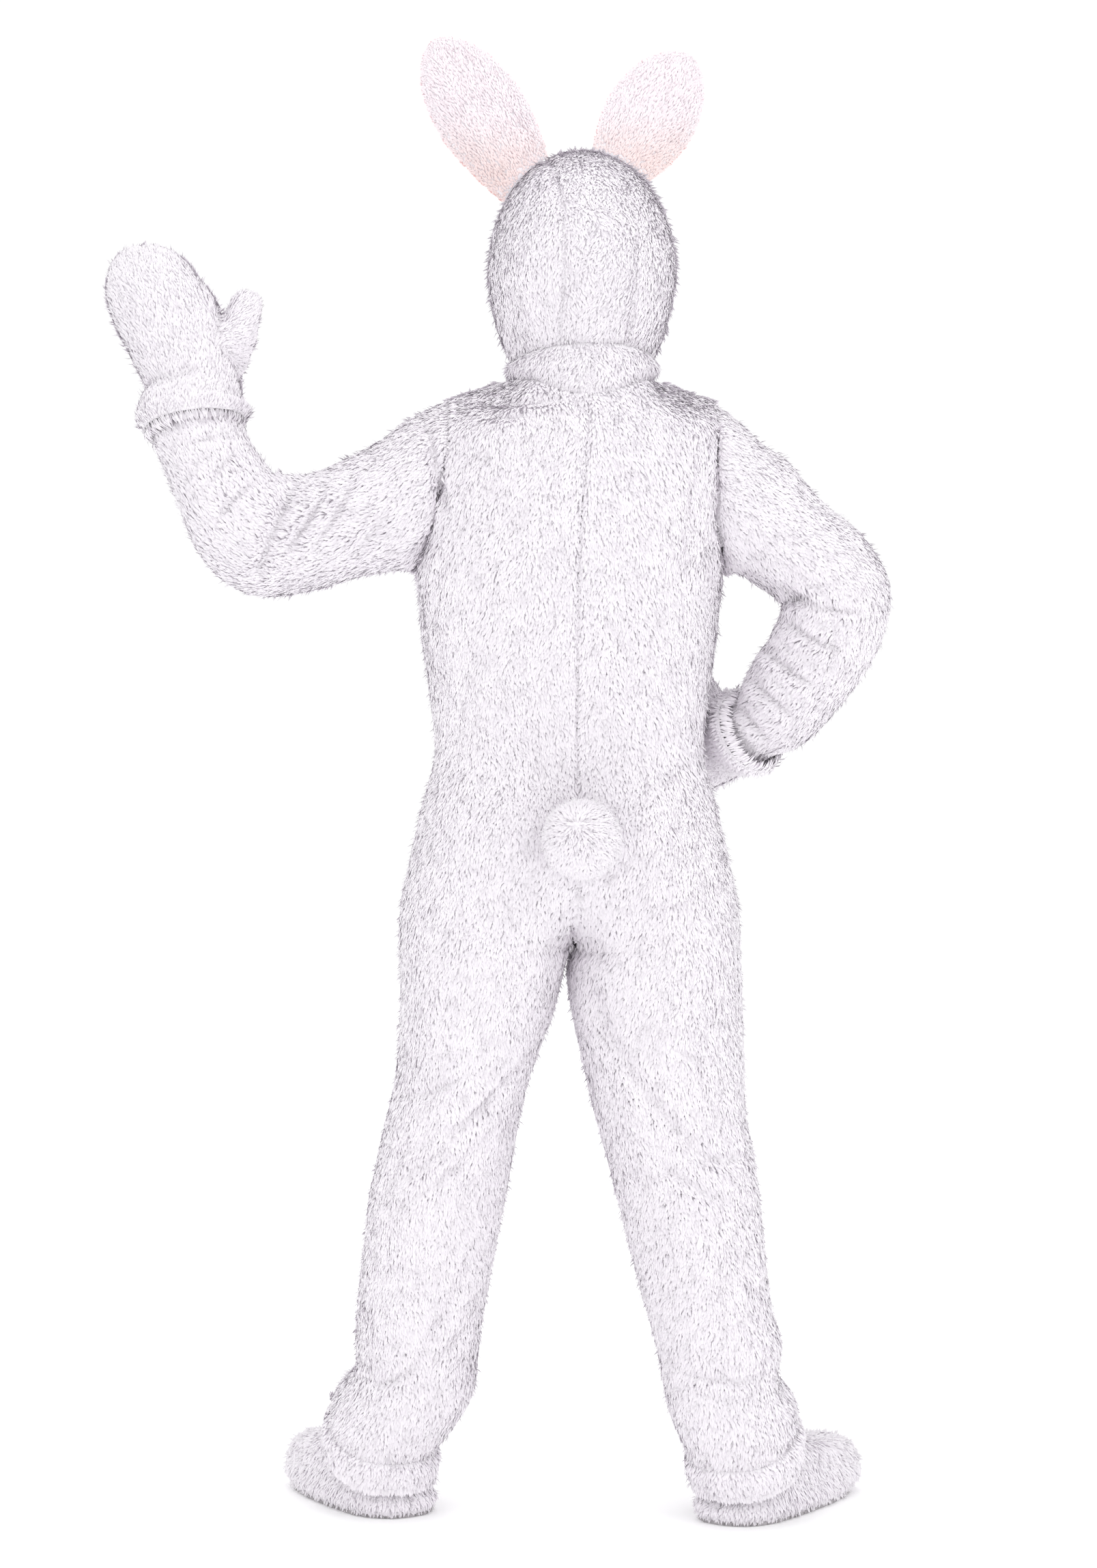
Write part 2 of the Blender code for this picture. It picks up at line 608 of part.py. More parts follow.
def gusset_grid():
    """The hood's middle panel, from the nape over the top to the forehead."""
    crown = HOOD[-1]
    rings = hood_rings()
    places = [-1.0, -0.5, 0.0, 0.5, 1.0]
    grid = []
    for level, ring in enumerate(rings[: len(HOOD)]):
        line = []
        for place in places:
            angle = math.asin(GUSSET_HALF_WIDTH * place / ring.half_width)
            line.append(hood_turned(hood_point(ring, level, angle)))
        grid.append(line)
    for step in range(1, 2 * DOME_STEPS - FOREHEAD_STEP + 1):
        sweep = math.pi / 2 * step / DOME_STEPS
        line = []
        for place in places:
            x = GUSSET_HALF_WIDTH * place
            reach = math.sqrt(1 - (x / crown.half_width) ** 2)
            depth = crown.back if math.cos(sweep) > 0 else crown.front
            y = HOOD_Y + depth * reach * math.cos(sweep)
            line.append(hood_turned((x, y, crown.height + DOME_RISE * reach * math.sin(sweep))))
        grid.append(line)
    return np.array(grid)


def collar_grid(panels, sides, gusset):
    """The collar, from the suit's neck up to the hood, slit at the centre back."""
    k = NECK_COLUMNS
    lower = list(panels["back_left"][0, : k + 1]) + list(panels["front_left"][0, :k][::-1])
    lower += list(panels["front_right"][0, 1 : k + 1]) + list(panels["back_right"][0, :k][::-1])
    middle = len(gusset[0]) // 2
    upper = list(gusset[0, middle:]) + list(sides["left"][0, 1:])
    upper += list(sides["right"][0, ::-1][1:]) + list(gusset[0, :middle + 1][1:])
    lower = np.array(lower)
    upper = np.array(upper)
    centre = (lower.mean(axis=0) + upper.mean(axis=0)) / 2
    grid = []
    for step in range(COLLAR_STEPS + 1):
        share = step / COLLAR_STEPS
        line = lower * (1 - share) + upper * share
        away = line - centre
        away[:, 2] = 0
        away /= np.linalg.norm(away, axis=1)[:, None]
        grid.append(line + away * COLLAR_ROLL * math.sin(math.pi * share))
    grid = np.array(grid)
    grid[0, :, 2] += COLLAR_DROP
    grid[-1, :, 2] -= COLLAR_DROP
    return grid


def raw_normals(grid, closed):
    """Outward unit normals of a grid, by central differences."""
    down = np.gradient(grid, axis=0)
    if closed:
        wide = np.concatenate([grid[:, -2:-1], grid, grid[:, 1:2]], axis=1)
        across = wide[:, 2:] - wide[:, :-2]
    else:
        across = np.gradient(grid, axis=1)
    normals = np.cross(down, across)
    lengths = np.linalg.norm(normals, axis=2)
    for r, c in zip(*np.nonzero(lengths < 1e-12)):
        near = min(max(r, 1), len(grid) - 2)
        normals[r, c] = normals[near].mean(axis=0)
    normals /= np.maximum(np.linalg.norm(normals, axis=2), 1e-12)[:, :, None]
    outward = ((grid - grid.mean(axis=1, keepdims=True)) * normals).sum()
    return normals if outward > 0 else -normals


def key_of(point):
    """A rounded place, the same for panels that share a seam."""
    return tuple(np.round(point / SEAM_REACH + 0.137).astype(int))


def share_seam_normals(patches):
    """Gives the panels that meet at a seam one normal there, so that their walls meet too."""
    found = {}
    for index, patch in enumerate(patches):
        rows, columns = patch.grid.shape[:2]
        for r in range(rows):
            for c in range(columns):
                if r in (0, rows - 1) or c in (0, columns - 1):
                    found.setdefault(key_of(patch.grid[r, c]), []).append((index, r, c))
    for places in found.values():
        normals = [patches[i].normals[r, c].copy() for i, r, c in places]
        for (i, r, c), own in zip(places, normals):
            patches[i].normals[r, c] = unit(sum(other for other in normals if other @ own > SEAM_LIKENESS))


def fold_depth(point, normal):
    """How far the folds push a point of the cloth inward."""
    total = 0.0
    for fold in FOLDS:
        facing = normal[1] * fold.side
        if facing <= 0.1:
            continue
        best = 1.0
        for k in range(FOLD_SAMPLES):
            t = k / (FOLD_SAMPLES - 1)
            x = fold.x0 * (1 - t) ** 2 + 2 * fold.xm * t * (1 - t) + fold.x1 * t * t
            z = fold.z0 * (1 - t) ** 2 + 2 * fold.zm * t * (1 - t) + fold.z1 * t * t
            reach = ((point[0] - x) ** 2 + (point[2] - z) ** 2) / fold.width**2
            fade = 1 - (2 * t - 1) ** 4
            best = min(best, 1 - fade * math.exp(-reach / 2))
        total += fold.depth * (1 - best) * smooth(facing * 1.5)
    return total


def folded(patch):
    """The patch's grid with its folds pushed in; they lie in the suit and its sleeves."""
    grid = patch.grid.copy()
    if not patch.name.startswith(("back_", "front_", "sleeve_")):
        return grid
    for r in range(grid.shape[0]):
        for c in range(grid.shape[1]):
            normal = patch.normals[r, c]
            grid[r, c] -= normal * fold_depth(patch.grid[r, c], normal)
    return grid


def trimmed(grid, inner, trims):
    """Pulls the edges that meet another piece back from their seam."""
    grid = grid.copy()
    inner = inner.copy()
    last_row = len(grid) - 1
    last_column = grid.shape[1] - 1
    edges = {
        "top": (np.s_[0, :], np.s_[1, :]),
        "bottom": (np.s_[last_row, :], np.s_[last_row - 1, :]),
        "start": (np.s_[:, 0], np.s_[:, 1]),
        "end": (np.s_[:, last_column], np.s_[:, last_column - 1]),
    }
    for name in trims:
        edge, near = edges[name]
        pull = grid[near] - grid[edge]
        length = np.maximum(np.linalg.norm(pull, axis=1), 1e-9)
        pull = pull / length[:, None] * np.minimum(TRIM, length / 3)[:, None]
        grid[edge] += pull
        inner[edge] += pull
    return grid, inner


def make_object(name, points, faces, material):
    """A smooth shaded mesh object from points in metres over the floor."""
    mesh = bpy.data.meshes.new(name)
    data = bmesh.new()
    verts = [data.verts.new((x, y, z - ORIGIN_HEIGHT)) for x, y, z in points]
    for face in faces:
        data.faces.new([verts[k] for k in face])
    bmesh.ops.remove_doubles(data, verts=data.verts, dist=2e-6)
    bmesh.ops.dissolve_degenerate(data, edges=data.edges, dist=1e-6)
    bmesh.ops.recalc_face_normals(data, faces=data.faces)
    if data.calc_volume(signed=True) < 0:
        bmesh.ops.reverse_faces(data, faces=data.faces)
    bmesh.ops.triangulate(data, faces=data.faces)
    data.to_mesh(mesh)
    data.free()
    mesh.shade_smooth()
    mesh.materials.append(material)
    obj = bpy.data.objects.new(name, mesh)
    bpy.context.scene.collection.objects.link(obj)
    return obj


def add_shell(patch, materials):
    """Turns a patch of cloth into a closed wall."""
    outer = folded(patch) + patch.shift
    inner = outer - patch.normals * patch.wall
    outer, inner = trimmed(outer, inner, patch.trims)
    rows, columns = outer.shape[:2]
    points = np.concatenate([outer.reshape(-1, 3), inner.reshape(-1, 3)])
    half = rows * columns

    def at(r, c, level):
        return level * half + r * columns + c

    faces = []
    for r in range(rows - 1):
        for c in range(columns - 1):
            faces.append((at(r, c, 0), at(r, c + 1, 0), at(r + 1, c + 1, 0), at(r + 1, c, 0)))
            faces.append((at(r, c, 1), at(r + 1, c, 1), at(r + 1, c + 1, 1), at(r, c + 1, 1)))
    for c in range(columns - 1):
        faces.append((at(0, c + 1, 0), at(0, c, 0), at(0, c, 1), at(0, c + 1, 1)))
        faces.append((at(rows - 1, c, 0), at(rows - 1, c + 1, 0), at(rows - 1, c + 1, 1), at(rows - 1, c, 1)))
    end = columns - 1
    for r in range(rows - 1 if "start" in patch.trims else 0):
        faces.append((at(r, 0, 0), at(r + 1, 0, 0), at(r + 1, 0, 1), at(r, 0, 1)))
        faces.append((at(r + 1, end, 0), at(r, end, 0), at(r, end, 1), at(r + 1, end, 1)))
    return make_object(patch.name, points, faces, materials[patch.finish])


def make_patch(name, grid, trims, shift=0.0, closed=False, wall=WALL):
    """A patch of cloth with its own normals; a plain number shifts it sideways off its neighbour."""
    normals = raw_normals(grid, closed)
    if np.isscalar(shift):
        shift = np.array((shift, 0.0, 0.0))
    return Patch(name, grid, normals, trims, shift, "white_fur", wall)


def add_suit(patches):
    """Back and front panels of both halves."""
    panels = {}
    for side, name, legs, place in ((1, "left", LEG_LEFT, SHOES[0]), (-1, "right", LEG_RIGHT, SHOES[1])):
        toe = toe_direction(place, side)
        for back in (True, False):
            key = ("back_" if back else "front_") + name
            grid = suit_grid(side, back, legs, toe)
            panels[key] = grid
            patches.append(make_patch(key, grid, ("top", "bottom", "start", "end"), side * SEAM_GAP / 2))
    return panels


def add_sleeves(patches, panels):
    """Both set-in sleeves."""
    last = SHOULDER_STEPS
    for side, name, arm in ((1, "left", ARM_LEFT), (-1, "right", ARM_RIGHT)):
        up_back = panels["back_" + name][: last + 1, -1][::-1]
        down_front = panels["front_" + name][: last + 1, -1][1:]
        ring = list(up_back) + list(down_front)
        grid = sleeve_grid(side, arm, ring)
        patches.append(make_patch("sleeve_" + name, grid, ("top", "start", "end"), closed=True))


def add_bands(patches):
    """Gathered hems below the elastic of each leg."""
    for side, name, legs, place in ((1, "left", BAND_LEFT, SHOES[0]), (-1, "right", BAND_RIGHT, SHOES[1])):
        toe = toe_direction(place, side)
        top = [leg_rows(side, back, [legs[0], legs[0]], toe, 1)[0] for back in (True, False)]
        grid = []
        for index, level in enumerate([None] + list(range(BAND_STEPS))):
            if level is None:
                back, front = top
            else:
                back, front = (leg_rows(side, b, legs, toe, BAND_STEPS)[level] for b in (True, False))
            grid.append(list(back) + list(front[::-1][1:]))
        grid = np.array(grid)
        grid[0, :, 2] -= BAND_DROP
        patches.append(
            make_patch("ankle_band_" + name, grid, ("start", "end"), side * SEAM_GAP / 2, closed=True)
        )


def add_hands(patches):
    """Both mittens."""
    for side, name, hand in ((1, "left", HAND_LEFT), (-1, "right", HAND_RIGHT)):
        halves, gaps, root, centre = hand_grids(side, hand)
        for half, grid, gap in zip(("back", "palm"), halves, gaps):
            patches.append(make_patch(f"mitten_{name}_{half}", grid, ("start", "end"), gap, wall=THIN_WALL))
        thumb = thumb_grid(root, centre)
        patches.append(make_patch(f"mitten_{name}_thumb", thumb, ("top",), closed=True, wall=THIN_WALL))


def add_hood(patches, panels):
    """Hood panels and collar."""
    sides = {"left": hood_side_grid(1), "right": hood_side_grid(-1)}
    gusset = gusset_grid()
    for name, grid in sides.items():
        patches.append(make_patch("hood_side_" + name, grid, ("start", "end", "bottom")))
    patches.append(make_patch("hood_gusset", gusset, ("start", "end")))
    collar = collar_grid(panels, sides, gusset)
    patches.append(make_patch("collar", collar, ("start", "end")))


def dome_level(point):
    """Over 1 outside the hood's dome, under 1 inside it."""
    crown = HOOD[-1]
    x = point[0] - LEAN
    y = point[1] - HOOD_Y
    back_x = x * math.cos(-HOOD_TURN) - y * math.sin(-HOOD_TURN)
    back_y = x * math.sin(-HOOD_TURN) + y * math.cos(-HOOD_TURN)
    depth = crown.back if back_y > 0 else crown.front
    climb = (point[2] - crown.height) / DOME_RISE
    return math.sqrt((back_x / crown.half_width) ** 2 + (back_y / depth) ** 2 + climb**2)


def seat_on_dome(point, axis):
    """Slides a point along the ear's axis until it lies just outside the hood."""
    low, high = EAR_SEARCH
    for _ in range(30):
        middle = (low + high) / 2
        if dome_level(point + axis * middle) > 1 + EAR_CLEARANCE / HOOD[-1].half_width:
            high = middle
        else:
            low = middle
    return high


def ear_layers(place):
    """Outer, middle and inner grids of an ear, lying face to face."""
    axis = unit(np.array((place.lean_x, place.lean_y, place.lean_up)))
    across = unit(np.cross(axis, np.array((0, 1.0, 0))))
    facing = np.cross(across, axis)
    facing = facing * np.sign(facing[1])
    base = np.array((place.base_x, HOOD_Y + 0.002, place.base_height))
    places = np.linspace(-1, 1, EAR_COLUMNS)
    rows = resampled(EAR, EAR_STEPS)
    layers = {"back": [], "front": []}
    for layer, sign in (("back", 1), ("front", -1)):
        near, far = [], []
        for row in rows:
            near_line, far_line = [], []
            for v in places:
                half = row.half_width
                spine = base + axis * EAR_LENGTH * row.along + across * half * v
                cup = facing * EAR_CUP * (0.5 - v * v) * math.sin(math.pi * min(row.along + 0.12, 1))
                swell = EAR_EDGE + EAR_BULGE * (1 - v * v) * math.sqrt(max(half, 0) / EAR_WIDEST)
                near_line.append(spine + cup + facing * sign * EAR_HALF_GAP)
                far_line.append(spine + cup + facing * sign * (EAR_HALF_GAP + swell))
            near.append(near_line)
            far.append(far_line)
        near, far = np.array(near), np.array(far)
        for grid in (near, far):
            for c in range(len(places)):
                lift = seat_on_dome(grid[0, c], axis)
                for r, row in enumerate(rows):
                    grid[r, c] += axis * lift * (1 - row.along) ** 2
        layers[layer] = (far, near)
    return layers


def add_ears(materials):
    """Two leaves of cloth for each ear, sewn edge to edge."""
    for place in EARS:
        layers = ear_layers(place)
        for layer, finish in (("back", "white_fur"), ("front", "pink_fur")):
            outer, inner = layers[layer]
            rows, columns = outer.shape[:2]
            points = np.concatenate([outer.reshape(-1, 3), inner.reshape(-1, 3)])
            half = rows * columns
            faces = []
            for r in range(rows - 1):
                for c in range(columns - 1):
                    a, b = r * columns + c, (r + 1) * columns + c
                    faces.append((a, a + 1, b + 1, b))
                    faces.append((half + a, half + b, half + b + 1, half + a + 1))
            for r in range(rows - 1):
                a, b = r * columns, (r + 1) * columns
                faces.append((a, b, half + b, half + a))
                a, b = a + columns - 1, b + columns - 1
                faces.append((b, a, half + a, half + b))
            for c in range(columns - 1):
                faces.append((c + 1, c, half + c, half + c + 1))
                a = (rows - 1) * columns + c
                faces.append((a, a + 1, half + a + 1, half + a))
            make_object(f"ear_{place.side}_{layer}", points, faces, materials[finish])


def seat_surface(x, height):
    """How far back the suit reaches at a place of the seat."""
    top = BODY[-1]
    if height >= top.height:
        share = (height - top.height) / (BODY[-2].height - top.height)
        width = top.half_width + (BODY[-2].half_width - top.half_width) * share
        depth = top.back + (BODY[-2].back - top.back) * share
    else:
        turn = math.asin((top.height - height) / (top.height - CROTCH_HEIGHT))
        width = top.half_width
        depth = top.back + SEAT_DEPTH * math.sin(2 * turn)
    return depth * max(1 - (abs(x) / width) ** BODY_POWER, 0.0) ** (1 / BODY_POWER)


def add_tail(materials):
    """The round stuffed tail, flattened where it lies on the seat."""
    back = seat_surface(0.0, TAIL_HEIGHT)
    centre = np.array((0.0, back + TAIL_RADIUS - TAIL_SUNK, TAIL_HEIGHT))
    data = bmesh.new()
    bmesh.ops.create_uvsphere(data, u_segments=TAIL_COLUMNS, v_segments=TAIL_ROWS, radius=TAIL_RADIUS)
    points = []
    for vert in data.verts:
        x, y, z = centre + np.array(vert.co)
        points.append((x, max(y, seat_surface(x, z) + TAIL_GAP), z))
    faces = [[v.index for v in face.verts] for face in data.faces]
    data.free()
    make_object("tail", points, faces, materials["white_fur"])


def shoe_ring(row, columns, inset=0.0):
    """Local outline of a shoe cover: forward and sideways, from the toe round to the toe."""
    ring = []
    for c in range(columns + 1):
        turn = 2 * math.pi * c / columns
        reach = row.front if math.cos(turn) > 0 else row.back
        forward = (reach - inset) * math.copysign(abs(math.cos(turn)) ** 0.9, math.cos(turn))
        sideways = (row.half_width - inset) * math.copysign(abs(math.sin(turn)) ** 0.85, math.sin(turn))
        ring.append((forward, sideways))
    return ring


def shoe_to_world(place, forward, sideways, height):
    """World place of a local point of a shoe cover."""
    toe = unit(np.array((place.toe_x, place.toe_y)))
    beside = np.array((-toe[1], toe[0]))
    stretch = place.reach if forward > 0 else 1.0
    x, y = np.array((place.x, place.y)) + toe * forward * stretch + beside * sideways
    return (x, y, height)


def add_shoes(patches, materials):
    """Shoe covers: two upper halves and a sole for each foot."""
    for place in SHOES:
        columns = 2 * SHOE_COLUMNS
        grid = []
        for row in resampled(SHOE, SHOE_STEPS):
            ring = shoe_ring(row, columns)
            grid.append([shoe_to_world(place, f, s, row.height) for f, s in ring])
        grid = np.array(grid)
        normals = raw_normals(grid, True)
        outer_first = place.side == "left"
        for first in (0, SHOE_COLUMNS):
            name = "outer" if (first == 0) == outer_first else "inner"
            cut = np.s_[:, first : first + SHOE_COLUMNS + 1]
            trims = ("start", "end")
            part = (grid[cut], normals[cut].copy(), trims, np.zeros(3), "white_fur", THIN_WALL)
            patches.append(Patch(f"shoe_{place.side}_{name}", *part))
        ring = shoe_ring(SHOE[0], columns, SOLE_INSET)[:-1]
        points = [shoe_to_world(place, f, s, z) for z in (0.0, SOLE_THICKNESS) for f, s in ring]
        faces = [tuple(range(columns)), tuple(range(columns, 2 * columns))]
        for c in range(columns):
            d = (c + 1) % columns
            faces.append((c, d, columns + d, columns + c))
        make_object(f"shoe_{place.side}_sole", points, faces, materials["grey_sole"])


def add_zip(patches, materials):
    """The tape inside the centre back, moved in from the panels' own points."""
    panel = next(patch for patch in patches if patch.name == "back_left")
    middle = panel.grid[1:ZIP_ROWS, 0]
    inwards = -panel.normals[1:ZIP_ROWS, 0]
    lines = []
    for depth in (WALL + ZIP_STANDOFF, WALL + ZIP_STANDOFF + ZIP_THICKNESS):
        for sideways in (-ZIP_HALF_WIDTH, ZIP_HALF_WIDTH):
            lines.append(middle + inwards * depth + np.array((sideways, 0.0, 0.0)))
    points = [point for line in lines for point in line]
    rows = len(middle)
    faces = []
    for r in range(rows - 1):
        a, b, c, d = (k * rows + r for k in range(4))
        faces += [(a, a + 1, b + 1, b), (c, d, d + 1, c + 1), (a, c, c + 1, a + 1), (b, b + 1, d + 1, d)]
    a, b, c, d = (k * rows for k in range(4))
    faces.append((a, b, d, c))
    e = rows - 1
    faces.append((a + e, c + e, d + e, b + e))
    make_object("back_zip_tape", points, faces, materials["white_tape"])


def main():
    """Builds every piece of the costume."""
    clear_scene()
    materials = {name: make_material(name, *finish) for name, finish in FINISHES.items()}
    patches = []
    panels = add_suit(patches)
    add_sleeves(patches, panels)
    add_bands(patches)
    add_hood(patches, panels)
    add_hands(patches)
    add_shoes(patches, materials)
    share_seam_normals(patches)
    for patch in patches:
        add_shell(patch, materials)
    add_zip(patches, materials)
    add_ears(materials)
    add_tail(materials)


main()
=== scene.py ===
"""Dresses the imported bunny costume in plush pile, with seams, creases and a studio around it."""

from __future__ import annotations

import json
import logging
import math
from dataclasses import dataclass, field
from enum import Enum
from typing import Protocol, Sequence

import bmesh
import bpy
import numpy as np
from mathutils import Matrix, Vector
from mathutils.bvhtree import BVHTree
from mathutils.kdtree import KDTree

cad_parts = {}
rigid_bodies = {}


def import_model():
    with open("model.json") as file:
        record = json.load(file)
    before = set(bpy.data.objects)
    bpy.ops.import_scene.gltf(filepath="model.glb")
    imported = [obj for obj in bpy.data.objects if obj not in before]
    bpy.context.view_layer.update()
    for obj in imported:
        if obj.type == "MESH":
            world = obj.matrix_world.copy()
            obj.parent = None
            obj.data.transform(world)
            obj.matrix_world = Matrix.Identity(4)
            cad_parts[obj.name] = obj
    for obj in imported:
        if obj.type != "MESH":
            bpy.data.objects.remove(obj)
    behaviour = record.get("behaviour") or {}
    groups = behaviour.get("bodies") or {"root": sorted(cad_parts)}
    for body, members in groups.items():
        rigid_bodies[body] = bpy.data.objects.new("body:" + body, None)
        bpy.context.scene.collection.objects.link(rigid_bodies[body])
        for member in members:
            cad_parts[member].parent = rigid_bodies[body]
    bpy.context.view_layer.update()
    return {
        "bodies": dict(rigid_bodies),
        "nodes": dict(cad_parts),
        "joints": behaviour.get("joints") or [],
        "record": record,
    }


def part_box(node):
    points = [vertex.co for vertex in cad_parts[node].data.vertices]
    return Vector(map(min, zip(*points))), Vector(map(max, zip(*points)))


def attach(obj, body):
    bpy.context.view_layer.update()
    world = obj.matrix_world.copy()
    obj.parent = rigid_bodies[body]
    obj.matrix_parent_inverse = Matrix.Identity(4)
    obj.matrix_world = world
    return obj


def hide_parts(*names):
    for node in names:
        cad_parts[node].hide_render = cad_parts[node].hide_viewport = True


log = logging.getLogger("costume")

BODY = "root"
MM = 0.001
# The suit's origin lies this high over the floor.
NECK_HEIGHT = 1.139
# The floor lies this far under the soles.
FLOOR_GAP = 0.2 * MM

# Widest angle between two faces of one side of a cloth wall, and the widest over which a face
# that two others hold still belongs to that side.
SIDE_ANGLE = 0.9
TIED_ANGLE = 1.26
# A ray inwards meets the other side of a wall within so many wall thicknesses.
RAY_WALLS = 1.8
WELD = 0.02 * MM
RAY_START = 0.1 * MM
SMOOTHING_PASSES = 2

# Thickness of the knitted backing, and how far the deepest trough may pass the CAD wall.
SKIN = 1.2 * MM
TROUGH_ROOM = 3.0 * MM
# Shares of the cloth's normal, the tuft's direction and its own face in the shading of a tuft.
# The first keeps the pile soft, and the second lights the tips that point at the viewer.
CLOTH_SHADING = 0.70
TIP_SHADING = 0.36
FACE_SHADING = 0.34
# Steps of the plane's most even series of points.
EVEN_STEPS = (0.7548777, 0.5698403)
# Extra lean, at its root and tip, of a tuft that turns in over a cuff.
TUCK = (0.20, 0.48)
# A crease is drawn through so many points and ends so many half widths off its line, on cloth
# that faces its side of the costume.
CREASE_POINTS = 25
CREASE_REACH = 4
LEAST_FACING = 0.05
FACING_GAIN = 1.8
# The low bank on each side of a trough, in depths and half widths.
BANK_HEIGHT = 0.3
BANK_PLACE = 2.3
BANK_SPREAD = 1.2
# Level edges between these heights are covered by the pile above them and show no groove.
QUIET_HEIGHTS = ((-0.060, 0.060), (-1.200, -0.900))


class Slot(Enum):
    """Material slots of the record."""

    WHITE_FUR = "white_fur"
    PINK_FUR = "pink_fur"
    GREY_SOLE = "grey_sole"
    WHITE_TAPE = "white_tape"


class Held(Enum):
    """How a sheet of cloth is held."""

    HUNG = "hung"
    STRETCHED = "stretched"
    GATHERED = "gathered"


def linear(hex_colour: str) -> tuple[float, float, float, float]:
    """Turns an sRGB hex colour into linear light.

    Args:
        hex_colour: Six hex digits after a hash sign.

    Returns:
        Linear red, green, blue and an alpha of 1.
    """
    values = [int(hex_colour[k : k + 2], 16) / 255 for k in (1, 3, 5)]
    red, green, blue = (v / 12.92 if v <= 0.04045 else ((v + 0.055) / 1.055) ** 2.4 for v in values)
    return (red, green, blue, 1.0)


def shaded(hex_colour: str, share: float) -> tuple[float, ...]:
    """An sRGB hex colour in linear light, times a share and held under 1."""
    return (*(min(share * value, 1.0) for value in linear(hex_colour)[:3]), 1.0)


def unit(vectors: np.ndarray) -> np.ndarray:
    """Scales rows of vectors to length 1."""
    return vectors / np.maximum(np.linalg.norm(vectors, axis=-1, keepdims=True), 1e-12)


def soft_step(values: np.ndarray) -> np.ndarray:
    """Eases values from 0 to 1."""
    held = np.clip(values, 0.0, 1.0)
    return held * held * (3 - 2 * held)


@dataclass(frozen=True)
class SmoothNoise:
    """Value noise on a seeded lattice.

    Attributes:
        seed: Seed of the lattice.
    """

    seed: int

    def sample(self, points: np.ndarray, size: float) -> np.ndarray:
        """Noise from -1 to 1 at each point.

        Args:
            points: Places in metres.
            size: Size of one lattice cell in metres.

        Returns:
            One number for each point.
        """
        side = 32
        lattice = np.random.default_rng(self.seed).uniform(-1, 1, (side, side, side))
        cells = points / size + 512.0
        base = np.floor(cells).astype(np.int64)
        share = soft_step(cells - base)
        total = np.zeros(len(points))
        for dx in (0, 1):
            for dy in (0, 1):
                for dz in (0, 1):
                    corner = (base + (dx, dy, dz)) % side
                    weight = np.abs(1 - dx - share[:, 0]) * np.abs(1 - dy - share[:, 1])
                    weight *= np.abs(1 - dz - share[:, 2])
                    total += weight * lattice[corner[:, 0], corner[:, 1], corner[:, 2]]
        return total


class Nap(Protocol):
    """A rule for the way the pile lies."""

    def directions(self, points: np.ndarray) -> np.ndarray:
        """Direction of the pile at each point, not yet laid on the cloth."""


@dataclass(frozen=True)
class StraightNap:
    """Pile brushed one way.

    Attributes:
        way: Direction of the pile.
    """

    way: tuple[float, float, float]

    def directions(self, points: np.ndarray) -> np.ndarray:
        """The same direction at each point."""
        return np.tile(unit(np.array(self.way)), (len(points), 1))


@dataclass(frozen=True)
class AwayNap:
    """Pile that runs away from a place.

    Attributes:
        centre: The place it runs from.
        pull: Part of a fixed direction mixed in.
    """

    centre: tuple[float, float, float]
    pull: tuple[float, float, float] = (0.0, 0.0, 0.0)

    def directions(self, points: np.ndarray) -> np.ndarray:
        """Directions away from the centre."""
        return unit(unit(points - np.array(self.centre)) + np.array(self.pull))


@dataclass(frozen=True)
class PathNap:
    """Pile that follows a limb.

    Attributes:
        stations: Places along the limb, in the order that the pile runs.
    """

    stations: tuple[tuple[float, float, float], ...]

    def directions(self, points: np.ndarray) -> np.ndarray:
        """Directions along the limb, blended between its stretches.

        Args:
            points: Places in metres.

        Returns:
            One unit vector for each point.
        """
        stations = np.array(self.stations)
        middles = (stations[1:] + stations[:-1]) / 2
        ways = unit(stations[1:] - stations[:-1])
        away = np.linalg.norm(points[:, None] - middles[None], axis=2)
        weights = 1 / (away**4 + 1e-8)
        return unit((weights[:, :, None] * ways[None]).sum(axis=1))


